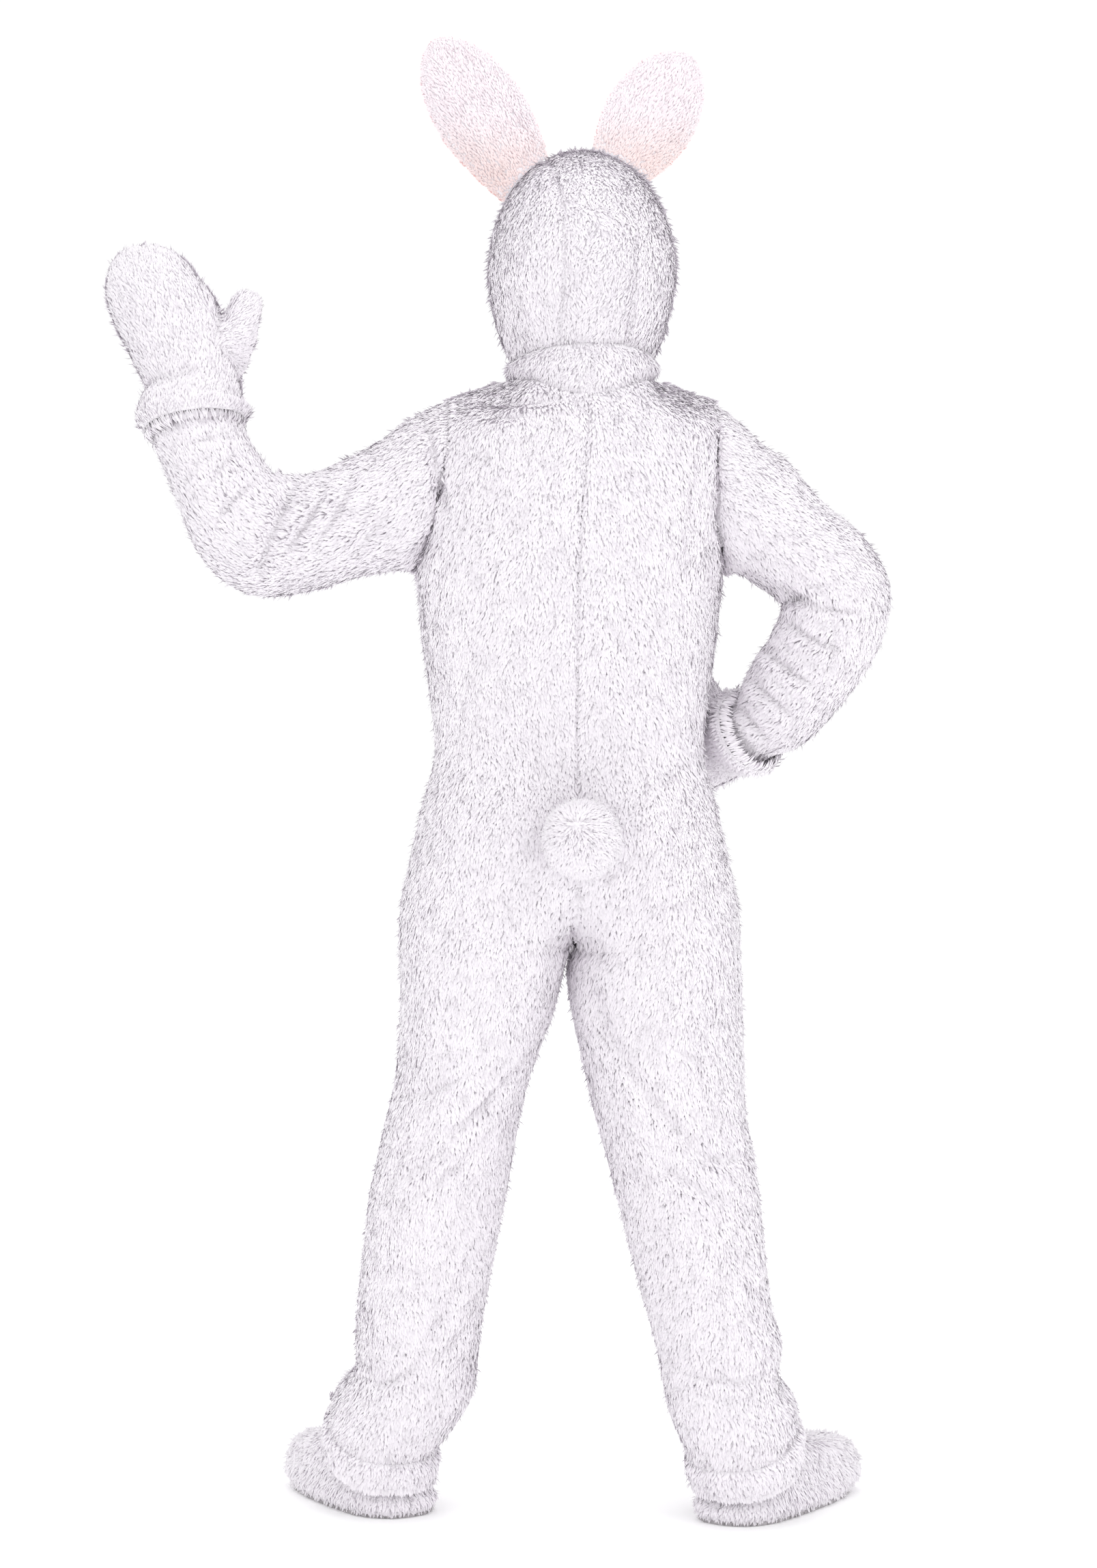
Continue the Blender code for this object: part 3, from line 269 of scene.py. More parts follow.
@dataclass(frozen=True)
class Crease:
    """A soft trough or ridge over the cloth, drawn in the view from the back.

    Attributes:
        start_x, start_z: Sideways place and height over the floor where it begins.
        bend_x, bend_z: The place that bends it.
        end_x, end_z: Where it ends.
        width: Half width in metres.
        depth: Depth in metres; a ridge has a depth under 0.
        side: 1 on the back of the costume and -1 on its front.
    """

    start_x: float
    start_z: float
    bend_x: float
    bend_z: float
    end_x: float
    end_z: float
    width: float
    depth: float
    side: int

    def sunk(self, points: np.ndarray, normals: np.ndarray) -> np.ndarray:
        """How far the crease pushes each point in.

        Args:
            points: Places on the cloth.
            normals: Outward directions there.

        Returns:
            Depths in metres.
        """
        depths = np.zeros(len(points))
        t = np.linspace(0, 1, CREASE_POINTS)[:, None]
        start, bend, end = np.array(
            ((self.start_x, self.start_z), (self.bend_x, self.bend_z), (self.end_x, self.end_z))
        )
        line = start * (1 - t) ** 2 + 2 * bend * t * (1 - t) + end * t**2
        line[:, 1] -= NECK_HEIGHT
        margin = CREASE_REACH * self.width
        low, high = line.min(axis=0) - margin, line.max(axis=0) + margin
        flat = points[:, [0, 2]]
        near = ((flat > low) & (flat < high)).all(axis=1)
        near &= normals[:, 1] * self.side > LEAST_FACING
        if not near.any():
            return depths
        places = flat[near]
        ahead = line[1:] - line[:-1]
        offset = places[:, None] - line[None, :-1]
        share = np.clip((offset * ahead).sum(axis=2) / (ahead**2).sum(axis=1), 0, 1)
        gap = np.linalg.norm(offset - share[:, :, None] * ahead, axis=2)
        nearest = gap.argmin(axis=1)
        rows = np.arange(len(places))
        along = (nearest + share[rows, nearest]) / len(ahead)
        reach = gap[rows, nearest] / self.width
        bank = BANK_HEIGHT * np.exp(-((reach - BANK_PLACE) ** 2) / BANK_SPREAD)
        trough = np.exp(-(reach**2) / 2) - bank
        fade = np.clip(1 - np.abs(2 * along - 1) ** 3, 0, 1)
        facing = soft_step(normals[near, 1] * self.side * FACING_GAIN)
        depths[near] = self.depth * trough * fade * facing
        return depths


# Sideways place and height of a crease's start, bend and end, its half width and its depth, in mm.
BACK_CREASES = (
    # The back of the wearer's left leg, from the crotch out to the knee.
    (30, 490, 90, 405, 192, 335, 5.0, 4.0),
    (55, 462, 105, 400, 188, 366, 4.4, 3.0),
    (100, 460, 135, 440, 172, 427, 4.2, 2.8),
    (90, 386, 128, 350, 186, 312, 4.6, 2.6),
    (88, 290, 120, 222, 164, 148, 6.2, 3.4),
    (150, 160, 178, 142, 204, 134, 4.4, 3.4),
    (105, 200, 120, 170, 150, 150, 5.0, 2.2),
    # The back of the right leg, with its long diagonal.
    (-4, 572, -40, 440, -140, 366, 6.0, 4.2),
    (-120, 378, -150, 360, -184, 376, 4.6, 3.0),
    (-92, 484, -112, 472, -140, 462, 4.2, 2.4),
    (-74, 374, -112, 342, -160, 322, 4.8, 3.0),
    (-100, 160, -152, 138, -206, 156, 4.4, 3.0),
    (-60, 380, -80, 270, -108, 172, 8.0, 2.4),
    (-150, 290, -168, 262, -190, 250, 6.0, 2.0),
    # Soft drags on the back of the suit, and the rumple under the collar.
    (110, 1132, 60, 1120, 6, 1134, 4.2, 4.2),
    (96, 1118, 72, 1108, 44, 1116, 3.4, 3.0),
    (-118, 1080, -128, 1010, -104, 930, 7.0, 2.4),
    (100, 1020, 96, 940, 110, 860, 9.0, 2.2),
    (-40, 930, -52, 850, -75, 780, 10.0, 2.0),
    (60, 800, 80, 740, 120, 700, 10.0, 2.0),
    (-80, 730, -100, 700, -130, 690, 8.0, 2.0),
    # The seat's hollow below the tail.
    (4, 650, -6, 610, -2, 570, 15.0, 7.0),
    (-50, 640, -60, 612, -88, 600, 8.0, 2.2),
    # The armhole of the raised arm is dragged into upright folds.
    (150, 1116, 136, 1070, 130, 1010, 4.0, 3.4),
    (162, 966, 146, 980, 134, 1004, 4.0, 3.0),
    # The raised sleeve folds at its elbow.
    (276, 1048, 300, 996, 318, 940, 4.8, 4.8),
    (244, 1052, 258, 1010, 292, 968, 4.2, 4.0),
    (216, 1060, 234, 1010, 262, 978, 4.4, 3.6),
    (184, 1034, 190, 994, 232, 968, 4.6, 3.0),
    (312, 1048, 338, 1036, 358, 1002, 4.2, 3.4),
    (330, 1078, 352, 1064, 374, 1030, 4.5, 2.8),
    (344, 1096, 366, 1088, 392, 1084, 4.2, 2.4),
    # The bent sleeve bunches inside its elbow.
    (-172, 824, -182, 800, -206, 782, 4.0, 4.2),
    (-182, 856, -196, 826, -230, 808, 4.2, 4.8),
    (-196, 886, -212, 854, -252, 838, 4.4, 4.8),
    (-212, 914, -234, 884, -276, 876, 4.4, 4.4),
    (-166, 950, -205, 944, -246, 918, 4.8, 3.6),
    (-236, 924, -262, 916, -292, 918, 4.0, 3.0),
    # The mitten of the raised hand, across the palm's bend and above its cuff.
    (372, 1226, 396, 1218, 424, 1230, 5.0, 2.0),
    (366, 1164, 384, 1158, 404, 1160, 4.6, 2.0),
)
FRONT_CREASES = (
    # The raised sleeve folds at its elbow.
    (262, 1046, 284, 996, 304, 950, 4.8, 4.0),
    (222, 1044, 226, 1006, 236, 968, 4.6, 3.0),
    (318, 1050, 342, 1036, 364, 1020, 4.2, 2.8),
    # The bent sleeve bunches inside its elbow.
    (-196, 914, -240, 908, -286, 900, 4.6, 3.8),
    (-190, 868, -220, 850, -250, 850, 4.4, 3.6),
    (-176, 830, -196, 812, -220, 812, 4.2, 3.0),
    # The front, where the photograph doesn't reach, creases in the same way.
    (50, 468, 110, 420, 182, 402, 4.8, 3.4),
    (70, 415, 120, 372, 186, 352, 4.6, 2.8),
    (100, 330, 140, 296, 190, 296, 4.8, 2.6),
    (-48, 470, -112, 402, -184, 388, 5.4, 3.6),
    (-70, 412, -125, 352, -186, 345, 4.6, 2.8),
    (-95, 300, -130, 272, -180, 280, 4.8, 2.6),
    (130, 160, 165, 144, 200, 150, 4.4, 2.8),
    (-125, 156, -155, 142, -195, 148, 4.4, 2.8),
    (105, 800, 40, 776, -85, 792, 6.4, 3.0),
    (-100, 822, -40, 812, 30, 826, 6.0, 2.2),
    (110, 1085, 118, 1030, 114, 965, 5.4, 2.4),
    (-112, 1080, -122, 1020, -126, 960, 5.4, 2.4),
)
CREASES = tuple(
    Crease(*(value * MM for value in row), side)
    for side, rows in ((1, BACK_CREASES), (-1, FRONT_CREASES))
    for row in rows
)


def creased(points: np.ndarray, normals: np.ndarray) -> np.ndarray:
    """How far all creases together push each point in."""
    return sum((crease.sunk(points, normals) for crease in CREASES), np.zeros(len(points)))


def connect(tree: bpy.types.NodeTree, node: bpy.types.Node, **links: object) -> None:
    """Sets or links inputs of a shader node.

    Args:
        tree: The material's node tree.
        node: The node.
        **links: Input names, with underscores for spaces, and a value or an output socket for each.
    """
    for name, value in links.items():
        socket = node.inputs[name.replace("_", " ")]
        if isinstance(value, bpy.types.NodeSocket):
            tree.links.new(value, socket)
        else:
            socket.default_value = value


def add_node(
    tree: bpy.types.NodeTree, kind: str, settings: dict | None = None, **links: object
) -> bpy.types.Node:
    """Adds a shader node.

    Args:
        tree: The material's node tree.
        kind: Blender's name of the node.
        settings: Attributes of the node.
        **links: Its inputs, as connect takes them.

    Returns:
        The new node.
    """
    node = tree.nodes.new(kind)
    for name, value in (settings or {}).items():
        setattr(node, name, value)
    connect(tree, node, **links)
    return node


def new_material(
    name: str, colour: tuple[float, ...]
) -> tuple[bpy.types.Material, bpy.types.NodeTree, bpy.types.Node, bpy.types.NodeSocket]:
    """Makes a material with a Principled shader.

    Args:
        name: The material's name.
        colour: Its colour before any pattern.

    Returns:
        The material, its node tree, its shader node and the socket with the place on the object.
    """
    material = bpy.data.materials.new(name)
    material.use_nodes = True
    material.diffuse_color = colour
    tree = material.node_tree
    shader = tree.nodes["Principled BSDF"]
    shader.inputs["Base Color"].default_value = colour
    return material, tree, shader, add_node(tree, "ShaderNodeTexCoord").outputs["Object"]


@dataclass(frozen=True)
class PlushPile:
    """Polyester plush pile: matt hairs with a faint bright rim.

    Attributes:
        name: Name of the material.
        root: Colour deep in the pile, darker than the tips as painted shade in the gaps between the
            hairs.
        tip: Colour of the hair ends, which most of the surface shows.
        base: Colour that the tips take on towards the lower end of the cloth, if any.
    """

    name: str
    root: str
    tip: str
    base: str | None = None

    def material(self) -> bpy.types.Material:
        """Builds the material; the hairs carry their own tint.

        Returns:
            The material.
        """
        made, tree, shader, place = new_material(self.name, linear(self.tip))
        tint = add_node(tree, "ShaderNodeAttribute", {"attribute_name": "Tint"})
        # Patches about 30 mm wide, where the dye took slightly better.
        patches = add_node(tree, "ShaderNodeTexNoise", Vector=place, Scale=32.0, Detail=2.0)
        shade = add_node(
            tree, "ShaderNodeMapRange", Value=patches.outputs["Fac"], To_Min=0.965, To_Max=1.03
        )
        mixed = add_node(
            tree, "ShaderNodeVectorMath", {"operation": "SCALE"},
            Vector=tint.outputs["Color"], Scale=shade.outputs["Result"],
        )
        # The front of a hair is shaded with the cloth, and its back by its own face.
        facing = add_node(tree, "ShaderNodeNewGeometry")
        chosen = add_node(
            tree, "ShaderNodeMix", {"data_type": "VECTOR"}, Factor=facing.outputs["Backfacing"]
        )
        front, back = [s for s in chosen.inputs if s.type == "VECTOR" and s.enabled][-2:]
        tree.links.new(facing.outputs["Normal"], front)
        tree.links.new(facing.outputs["True Normal"], back)
        blended = next(s for s in chosen.outputs if s.type == "VECTOR")
        # The sheen gives the soft bright rim of brushed plush.
        connect(
            tree, shader, Base_Color=mixed.outputs["Vector"], Normal=blended, Roughness=0.82,
            Specular_IOR_Level=0.25, Sheen_Weight=0.35, Sheen_Roughness=0.45,
        )
        return made


@dataclass(frozen=True)
class KnitBacking:
    """The knitted ground that holds the pile, seen only inside and between the hairs.

    Attributes:
        name: Name of the material.
        colour: Colour of the yarn.
    """

    name: str
    colour: str

    def material(self) -> bpy.types.Material:
        """Builds the material.

        Returns:
            The material.
        """
        made, tree, shader, place = new_material(self.name, linear(self.colour))
        # Knit courses 2.4 mm apart, coarser than real ones so that they show.
        courses = add_node(
            tree, "ShaderNodeTexWave", {"bands_direction": "Z"},
            Vector=place, Scale=130.0, Distortion=1.5,
        )
        fuzz = add_node(tree, "ShaderNodeTexNoise", Vector=place, Scale=900.0, Detail=3.0)
        ramp = add_node(tree, "ShaderNodeValToRGB", Fac=fuzz.outputs["Fac"])
        dark, light = ramp.color_ramp.elements
        dark.color, light.color = shaded(self.colour, 0.93), linear(self.colour)
        ribs = add_node(
            tree, "ShaderNodeBump", Height=courses.outputs["Fac"], Strength=0.35, Distance=0.3 * MM
        )
        bump = add_node(
            tree, "ShaderNodeBump",
            Height=fuzz.outputs["Fac"], Normal=ribs.outputs["Normal"],
            Strength=0.5, Distance=0.3 * MM,
        )
        connect(
            tree, shader, Base_Color=ramp.outputs["Color"], Normal=bump.outputs["Normal"],
            Roughness=0.9, Sheen_Weight=0.2,
        )
        return made


@dataclass(frozen=True)
class FeltSole:
    """Grey felt with a grip of small dots.

    Attributes:
        name: Name of the material.
        colour: Colour of the felt.
    """

    name: str
    colour: str

    def material(self) -> bpy.types.Material:
        """Builds the material.

        Returns:
            The material.
        """
        made, tree, shader, place = new_material(self.name, linear(self.colour))
        fibres = add_node(tree, "ShaderNodeTexNoise", Vector=place, Scale=420.0, Detail=4.0)
        # Grip dots 6 mm apart, darker than the felt.
        dots = add_node(tree, "ShaderNodeTexVoronoi", Vector=place, Scale=160.0, Randomness=0.0)
        dot = add_node(
            tree, "ShaderNodeMapRange", Value=dots.outputs["Distance"],
            From_Min=0.25, From_Max=0.32, To_Min=0.0, To_Max=1.0,
        )
        ramp = add_node(tree, "ShaderNodeValToRGB", Fac=fibres.outputs["Fac"])
        dark, light = ramp.color_ramp.elements
        dark.color, light.color = shaded(self.colour, 0.75), shaded(self.colour, 1.15)
        mixed = add_node(tree, "ShaderNodeMix", {"data_type": "RGBA"}, Factor=dot.outputs["Result"])
        grip, felt = [s for s in mixed.inputs if s.type == "RGBA"]
        grip.default_value = shaded(self.colour, 0.6)
        tree.links.new(ramp.outputs["Color"], felt)
        colour = next(s for s in mixed.outputs if s.type == "RGBA")
        bump = add_node(
            tree, "ShaderNodeBump", Height=fibres.outputs["Fac"], Strength=0.4, Distance=0.4 * MM
        )
        connect(tree, shader, Base_Color=colour, Normal=bump.outputs["Normal"], Roughness=0.85)
        return made


@dataclass(frozen=True)
class WovenTape:
    """White zip tape in a fine twill.

    Attributes:
        name: Name of the material.
        colour: Colour of the yarn.
        roughness: Roughness of the surface.
    """

    name: str
    colour: str
    roughness: float

    def material(self) -> bpy.types.Material:
        """Builds the material.

        Returns:
            The material.
        """
        made, tree, shader, place = new_material(self.name, linear(self.colour))
        # Twill ribs about 1 mm apart.
        twill = add_node(
            tree, "ShaderNodeTexWave", {"bands_direction": "DIAGONAL"},
            Vector=place, Scale=380.0, Distortion=0.4,
        )
        ramp = add_node(tree, "ShaderNodeValToRGB", Fac=twill.outputs["Fac"])
        dark, light = ramp.color_ramp.elements
        dark.color, light.color = shaded(self.colour, 0.82), linear(self.colour)
        bump = add_node(
            tree, "ShaderNodeBump", Height=twill.outputs["Fac"], Strength=0.4, Distance=0.15 * MM
        )
        connect(
            tree, shader, Base_Color=ramp.outputs["Color"], Normal=bump.outputs["Normal"],
            Roughness=self.roughness,
        )
        return made


class Look(Enum):
    """Every finish of the costume."""

    WHITE_PILE = PlushPile("WhitePlushPile", "#F3EFF4", "#FAF6FB")
    # The ears' backs are white, turning pinker towards the hood.
    BLUSH_PILE = PlushPile("BlushPlushPile", "#F4E6EC", "#FCF4F9", "#F8E6E4")
    PINK_PILE = PlushPile("PinkPlushPile", "#F0CDD2", "#FBE9EE", "#F8CFCB")
    KNIT = KnitBacking("WhiteKnitBacking", "#FAF7FB")
    PINK_KNIT = KnitBacking("PinkKnitBacking", "#F3D3D5")
    SOLE = FeltSole("GreyFeltSole", "#B4B0B3")
    TAPE = WovenTape("WhiteTwillTape", "#E6E4E8", 0.7)
    TEETH = WovenTape("WhiteNylonCoil", "#F0EEF2", 0.35)


class Wardrobe:
    """Keeps one material for each look."""

    def __init__(self) -> None:
        """Starts with no material made."""
        self._made: dict[Look, bpy.types.Material] = {}

    def get(self, look: Look) -> bpy.types.Material:
        """The material of a look, built the first time.

        Args:
            look: The finish wanted.

        Returns:
            Its material.
        """
        if look not in self._made:
            self._made[look] = look.value.material()
        return self._made[look]


def baked(name: str, data: bmesh.types.BMesh) -> bpy.types.Mesh:
    """Writes a bmesh to a new mesh and frees it.

    Args:
        name: Name of the mesh.
        data: The bmesh.

    Returns:
        The mesh.
    """
    mesh = bpy.data.meshes.new(name)
    data.to_mesh(mesh)
    data.free()
    return mesh


def add_object(
    name: str, data: bpy.types.ID, material: bpy.types.Material | None = None
) -> bpy.types.Object:
    """Adds an object to the scene.

    Args:
        name: Name of the object.
        data: Its mesh, lamp or camera.
        material: The one finish of a mesh.

    Returns:
        The object.
    """
    if material is not None:
        data.materials.clear()
        data.materials.append(material)
    obj = bpy.data.objects.new(name, data)
    bpy.context.scene.collection.objects.link(obj)
    return obj


def mesh_object(
    name: str, points: np.ndarray, faces: np.ndarray, material: bpy.types.Material
) -> bpy.types.Object:
    """Makes a smooth shaded object from arrays.

    Args:
        name: Name of the object.
        points: Vertices in metres.
        faces: Vertex numbers, one row of three or four for each face.
        material: The finish.

    Returns:
        The object, linked to the scene.
    """
    mesh = bpy.data.meshes.new(name)
    corners = faces.shape[1]
    mesh.vertices.add(len(points))
    mesh.vertices.foreach_set("co", points.astype(np.float32).ravel())
    mesh.loops.add(faces.size)
    mesh.loops.foreach_set("vertex_index", faces.astype(np.int32).ravel())
    mesh.polygons.add(len(faces))
    mesh.polygons.foreach_set("loop_start", np.arange(0, faces.size, corners, dtype=np.int32))
    mesh.update(calc_edges=True)
    mesh.validate()
    mesh.shade_smooth()
    return add_object(name, mesh, material)


def mount(slot: Slot, *objects: bpy.types.Object) -> None:
    """Ties objects to the costume's body.

    Args:
        slot: The material slot; not used.
        *objects: The objects.
    """
    for obj in objects:
        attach(obj, BODY)


class OuterSide:
    """The outer side of a cloth solid, smoothed between its rows.

    Attributes:
        points: Vertices.
        normals: Outward unit directions at the vertices.
        triangles: Faces as rows of three vertices.
        edge_loop: Directed boundary edges.
        seam_gap: Distance of each vertex from the edge of the cloth.
        inward: Unit direction at each vertex away from that edge.
        seam_share: How plainly that edge shows, from 0 to 1.
    """

    def __init__(self, node: bpy.types.Object, wall: float, levels: int) -> None:
        """Reads the side off a solid.

        Args:
            node: The CAD solid.
            wall: Thickness of its wall.
            levels: Subdivision levels.
        """
        cage = self._cage(node, wall)
        self.points, self.normals, self.triangles = self._smoothed(cage, levels)
        bpy.data.meshes.remove(cage)
        self.edge_loop = self._edges()
        self.seam_gap, self.inward, self.seam_share = self._distances()

    @staticmethod
    def _cage(node: bpy.types.Object, wall: float) -> bpy.types.Mesh:
        """Takes the larger side of the wall off the solid, as quads where it can.

        Args:
            node: The CAD solid.
            wall: Thickness of its wall.

        Returns:
            The faces of that side.
        """
        data = bmesh.new()
        data.from_mesh(node.data)
        data.transform(node.matrix_world)
        bmesh.ops.remove_doubles(data, verts=data.verts, dist=WELD)
        data.normal_update()
        tree = BVHTree.FromBMesh(data)
        left = set()
        for face in data.faces:
            start = face.calc_center_median() - face.normal * RAY_START
            if tree.ray_cast(start, -face.normal, RAY_WALLS * wall)[0] is not None:
                left.add(face)
        best: list[bmesh.types.BMFace] = []
        best_area = 0.0
        for seed in list(data.faces):
            if seed not in left:
                continue
            left.discard(seed)
            group = [seed]
            for face in group:
                for edge in face.edges:
                    for other in edge.link_faces:
                        if other in left and edge.calc_face_angle(math.pi) < SIDE_ANGLE:
                            left.discard(other)
                            group.append(other)
            area = sum(face.calc_area() for face in group)
            if area > best_area:
                best, best_area = group, area
        kept = set(best)
        added = True
        while added:
            added = [f for f in data.faces if f not in kept and OuterSide._tied(f, kept) > 1]
            kept.update(added)
        bmesh.ops.delete(data, geom=[f for f in data.faces if f not in kept], context="FACES")
        bmesh.ops.join_triangles(
            data, faces=data.faces, angle_face_threshold=0.7, angle_shape_threshold=0.9
        )
        return baked(node.name + "_cage", data)

    @staticmethod
    def _tied(face: bmesh.types.BMFace, kept: set[bmesh.types.BMFace]) -> int:
        """Counts the edges that tie a face to the chosen side."""
        flat = (edge for edge in face.edges if edge.calc_face_angle(math.pi) < TIED_ANGLE)
        return sum(any(other in kept for other in edge.link_faces) for edge in flat)

    @staticmethod
    def _smoothed(cage: bpy.types.Mesh, levels: int) -> tuple[np.ndarray, np.ndarray, np.ndarray]:
        """Subdivides the cage so that its own points stay in place.

        Args:
            cage: The faces of the side.
            levels: Subdivision levels.

        Returns:
            Vertices, their normals, and triangles.
        """
        obj = add_object("cage", cage)
        modifier = obj.modifiers.new("smooth", "SUBSURF")
        modifier.levels = modifier.render_levels = levels
        modifier.boundary_smooth = "PRESERVE_CORNERS"
        count = len(cage.vertices)
        wanted = np.empty(count * 3)
        cage.vertices.foreach_get("co", wanted)
        moved = wanted.copy()
        for index in range(SMOOTHING_PASSES + 1):
            cage.vertices.foreach_set("co", moved)
            cage.update()
            bpy.context.view_layer.update()
            shown = obj.evaluated_get(bpy.context.evaluated_depsgraph_get())
            mesh = shown.to_mesh()
            points = np.empty(len(mesh.vertices) * 3)
            mesh.vertices.foreach_get("co", points)
            if index == SMOOTHING_PASSES:
                normals = np.empty(len(mesh.vertices) * 3)
                mesh.vertices.foreach_get("normal", normals)
                mesh.calc_loop_triangles()
                triangles = np.empty(len(mesh.loop_triangles) * 3, dtype=np.int32)
                mesh.loop_triangles.foreach_get("vertices", triangles)
            shown.to_mesh_clear()
            moved += wanted - points[: count * 3]
        bpy.data.objects.remove(obj, do_unlink=True)
        return points.reshape(-1, 3), normals.reshape(-1, 3), triangles.reshape(-1, 3)

    def _edges(self) -> np.ndarray:
        """Finds the directed edges that only one face uses.

        Returns:
            Two vertex numbers for each edge.
        """
        t = self.triangles
        ends = np.concatenate([t[:, [0, 1]], t[:, [1, 2]], t[:, [2, 0]]]).astype(np.int64)
        size = len(self.points)
        keys = ends.min(axis=1) * size + ends.max(axis=1)
        _, first, counts = np.unique(keys, return_index=True, return_counts=True)
        return ends[first[counts == 1]]

    def _distances(self) -> tuple[np.ndarray, np.ndarray, np.ndarray]:
        """Measures each vertex from the nearest edge of the cloth.

        Returns:
            Its distance, its direction from there, and how plainly that edge shows.
        """
        count = len(self.points)
        if not len(self.edge_loop):
            return np.full(count, 1.0), self.normals, np.zeros(count)
        a, b = self.points[self.edge_loop[:, 0]], self.points[self.edge_loop[:, 1]]
        steps = np.linspace(0, 1, 5)[:-1, None, None]
        rim = (a[None] * (1 - steps) + b[None] * steps).reshape(-1, 3)
        level = np.tile(np.abs(unit(b - a)[:, 2]) < 0.5, len(steps))
        quiet = np.zeros(len(rim), dtype=bool)
        for low, high in QUIET_HEIGHTS:
            quiet |= (rim[:, 2] > low) & (rim[:, 2] < high)
        plain = np.where(level & quiet, 0.15, 1.0)
        tree = KDTree(len(rim))
        for index, point in enumerate(rim):
            tree.insert(point, index)
        tree.balance()
        found = [tree.find(point) for point in self.points]
        nearest = np.array([index for _, index, _ in found])
        gaps = np.array([gap for _, _, gap in found])
        return gaps, unit(self.points - rim[nearest]), plain[nearest]


@dataclass
class Spots:
    """Places on the outer side of a cloth.

    Attributes:
        points: Places in metres.
        normals: Outward unit directions.
        gap: Distance from the edge of the cloth.
        inward: Unit direction away from that edge.
        share: How plainly that edge shows.
    """

    points: np.ndarray
    normals: np.ndarray
    gap: np.ndarray
    inward: np.ndarray
    share: np.ndarray

    @classmethod
    def blended(cls, side: OuterSide, corners: np.ndarray, weights: np.ndarray) -> Spots:
        """Places between vertices.

        Args:
            side: The outer side of the cloth.
            corners: Vertex numbers, one row for each place.
            weights: The share of each of those vertices.

        Returns:
            The places.
        """
        spread = weights[:, :, None]
        return cls(
            (side.points[corners] * spread).sum(axis=1),
            unit((side.normals[corners] * spread).sum(axis=1)),
            (side.seam_gap[corners] * weights).sum(axis=1),
            unit((side.inward[corners] * spread).sum(axis=1)),
            (side.seam_share[corners] * weights).sum(axis=1),
        )

    def chosen(self, kept: np.ndarray) -> Spots:
        """Some of the places."""
        return Spots(*(values[kept] for values in vars(self).values()))

    def joined(self, other: Spots) -> Spots:
        """These places and others after them."""
        return Spots(*map(np.concatenate, zip(vars(self).values(), vars(other).values())))


@dataclass(frozen=True)
class Hairs:
    """Sizes of the pile.

    Attributes:
        density: Tufts in a square metre.
        length: Length of a tuft.
        width: Width of a tuft at its middle.
        depth: How far the backing lies under the pile's surface.
        edge_depth: The same at the edge of the cloth.
        edge_reach: How far in from the edge the full depth starts.
        first_lean: Angle off the cloth's normal of a tuft's lower half.
        last_lean: The same for its upper half.
        unrest: Random turn of each tuft, in radians.
        clump: Turn of neighbouring tufts together, in radians.
        stray: Share of tufts that stand up and roughen the outline.
        edge_length: Length of the tufts along an edge, as a share of the others.
    """

    density: float = 220_000.0
    length: float = 8.6 * MM
    width: float = 2.6 * MM
    depth: float = 2.5 * MM
    edge_depth: float = 2.2 * MM
    edge_reach: float = 8.0 * MM
    first_lean: float = math.radians(69)
    last_lean: float = math.radians(83)
    unrest: float = 0.16
    clump: float = 0.30
    stray: float = 0.06
    edge_length: float = 0.85


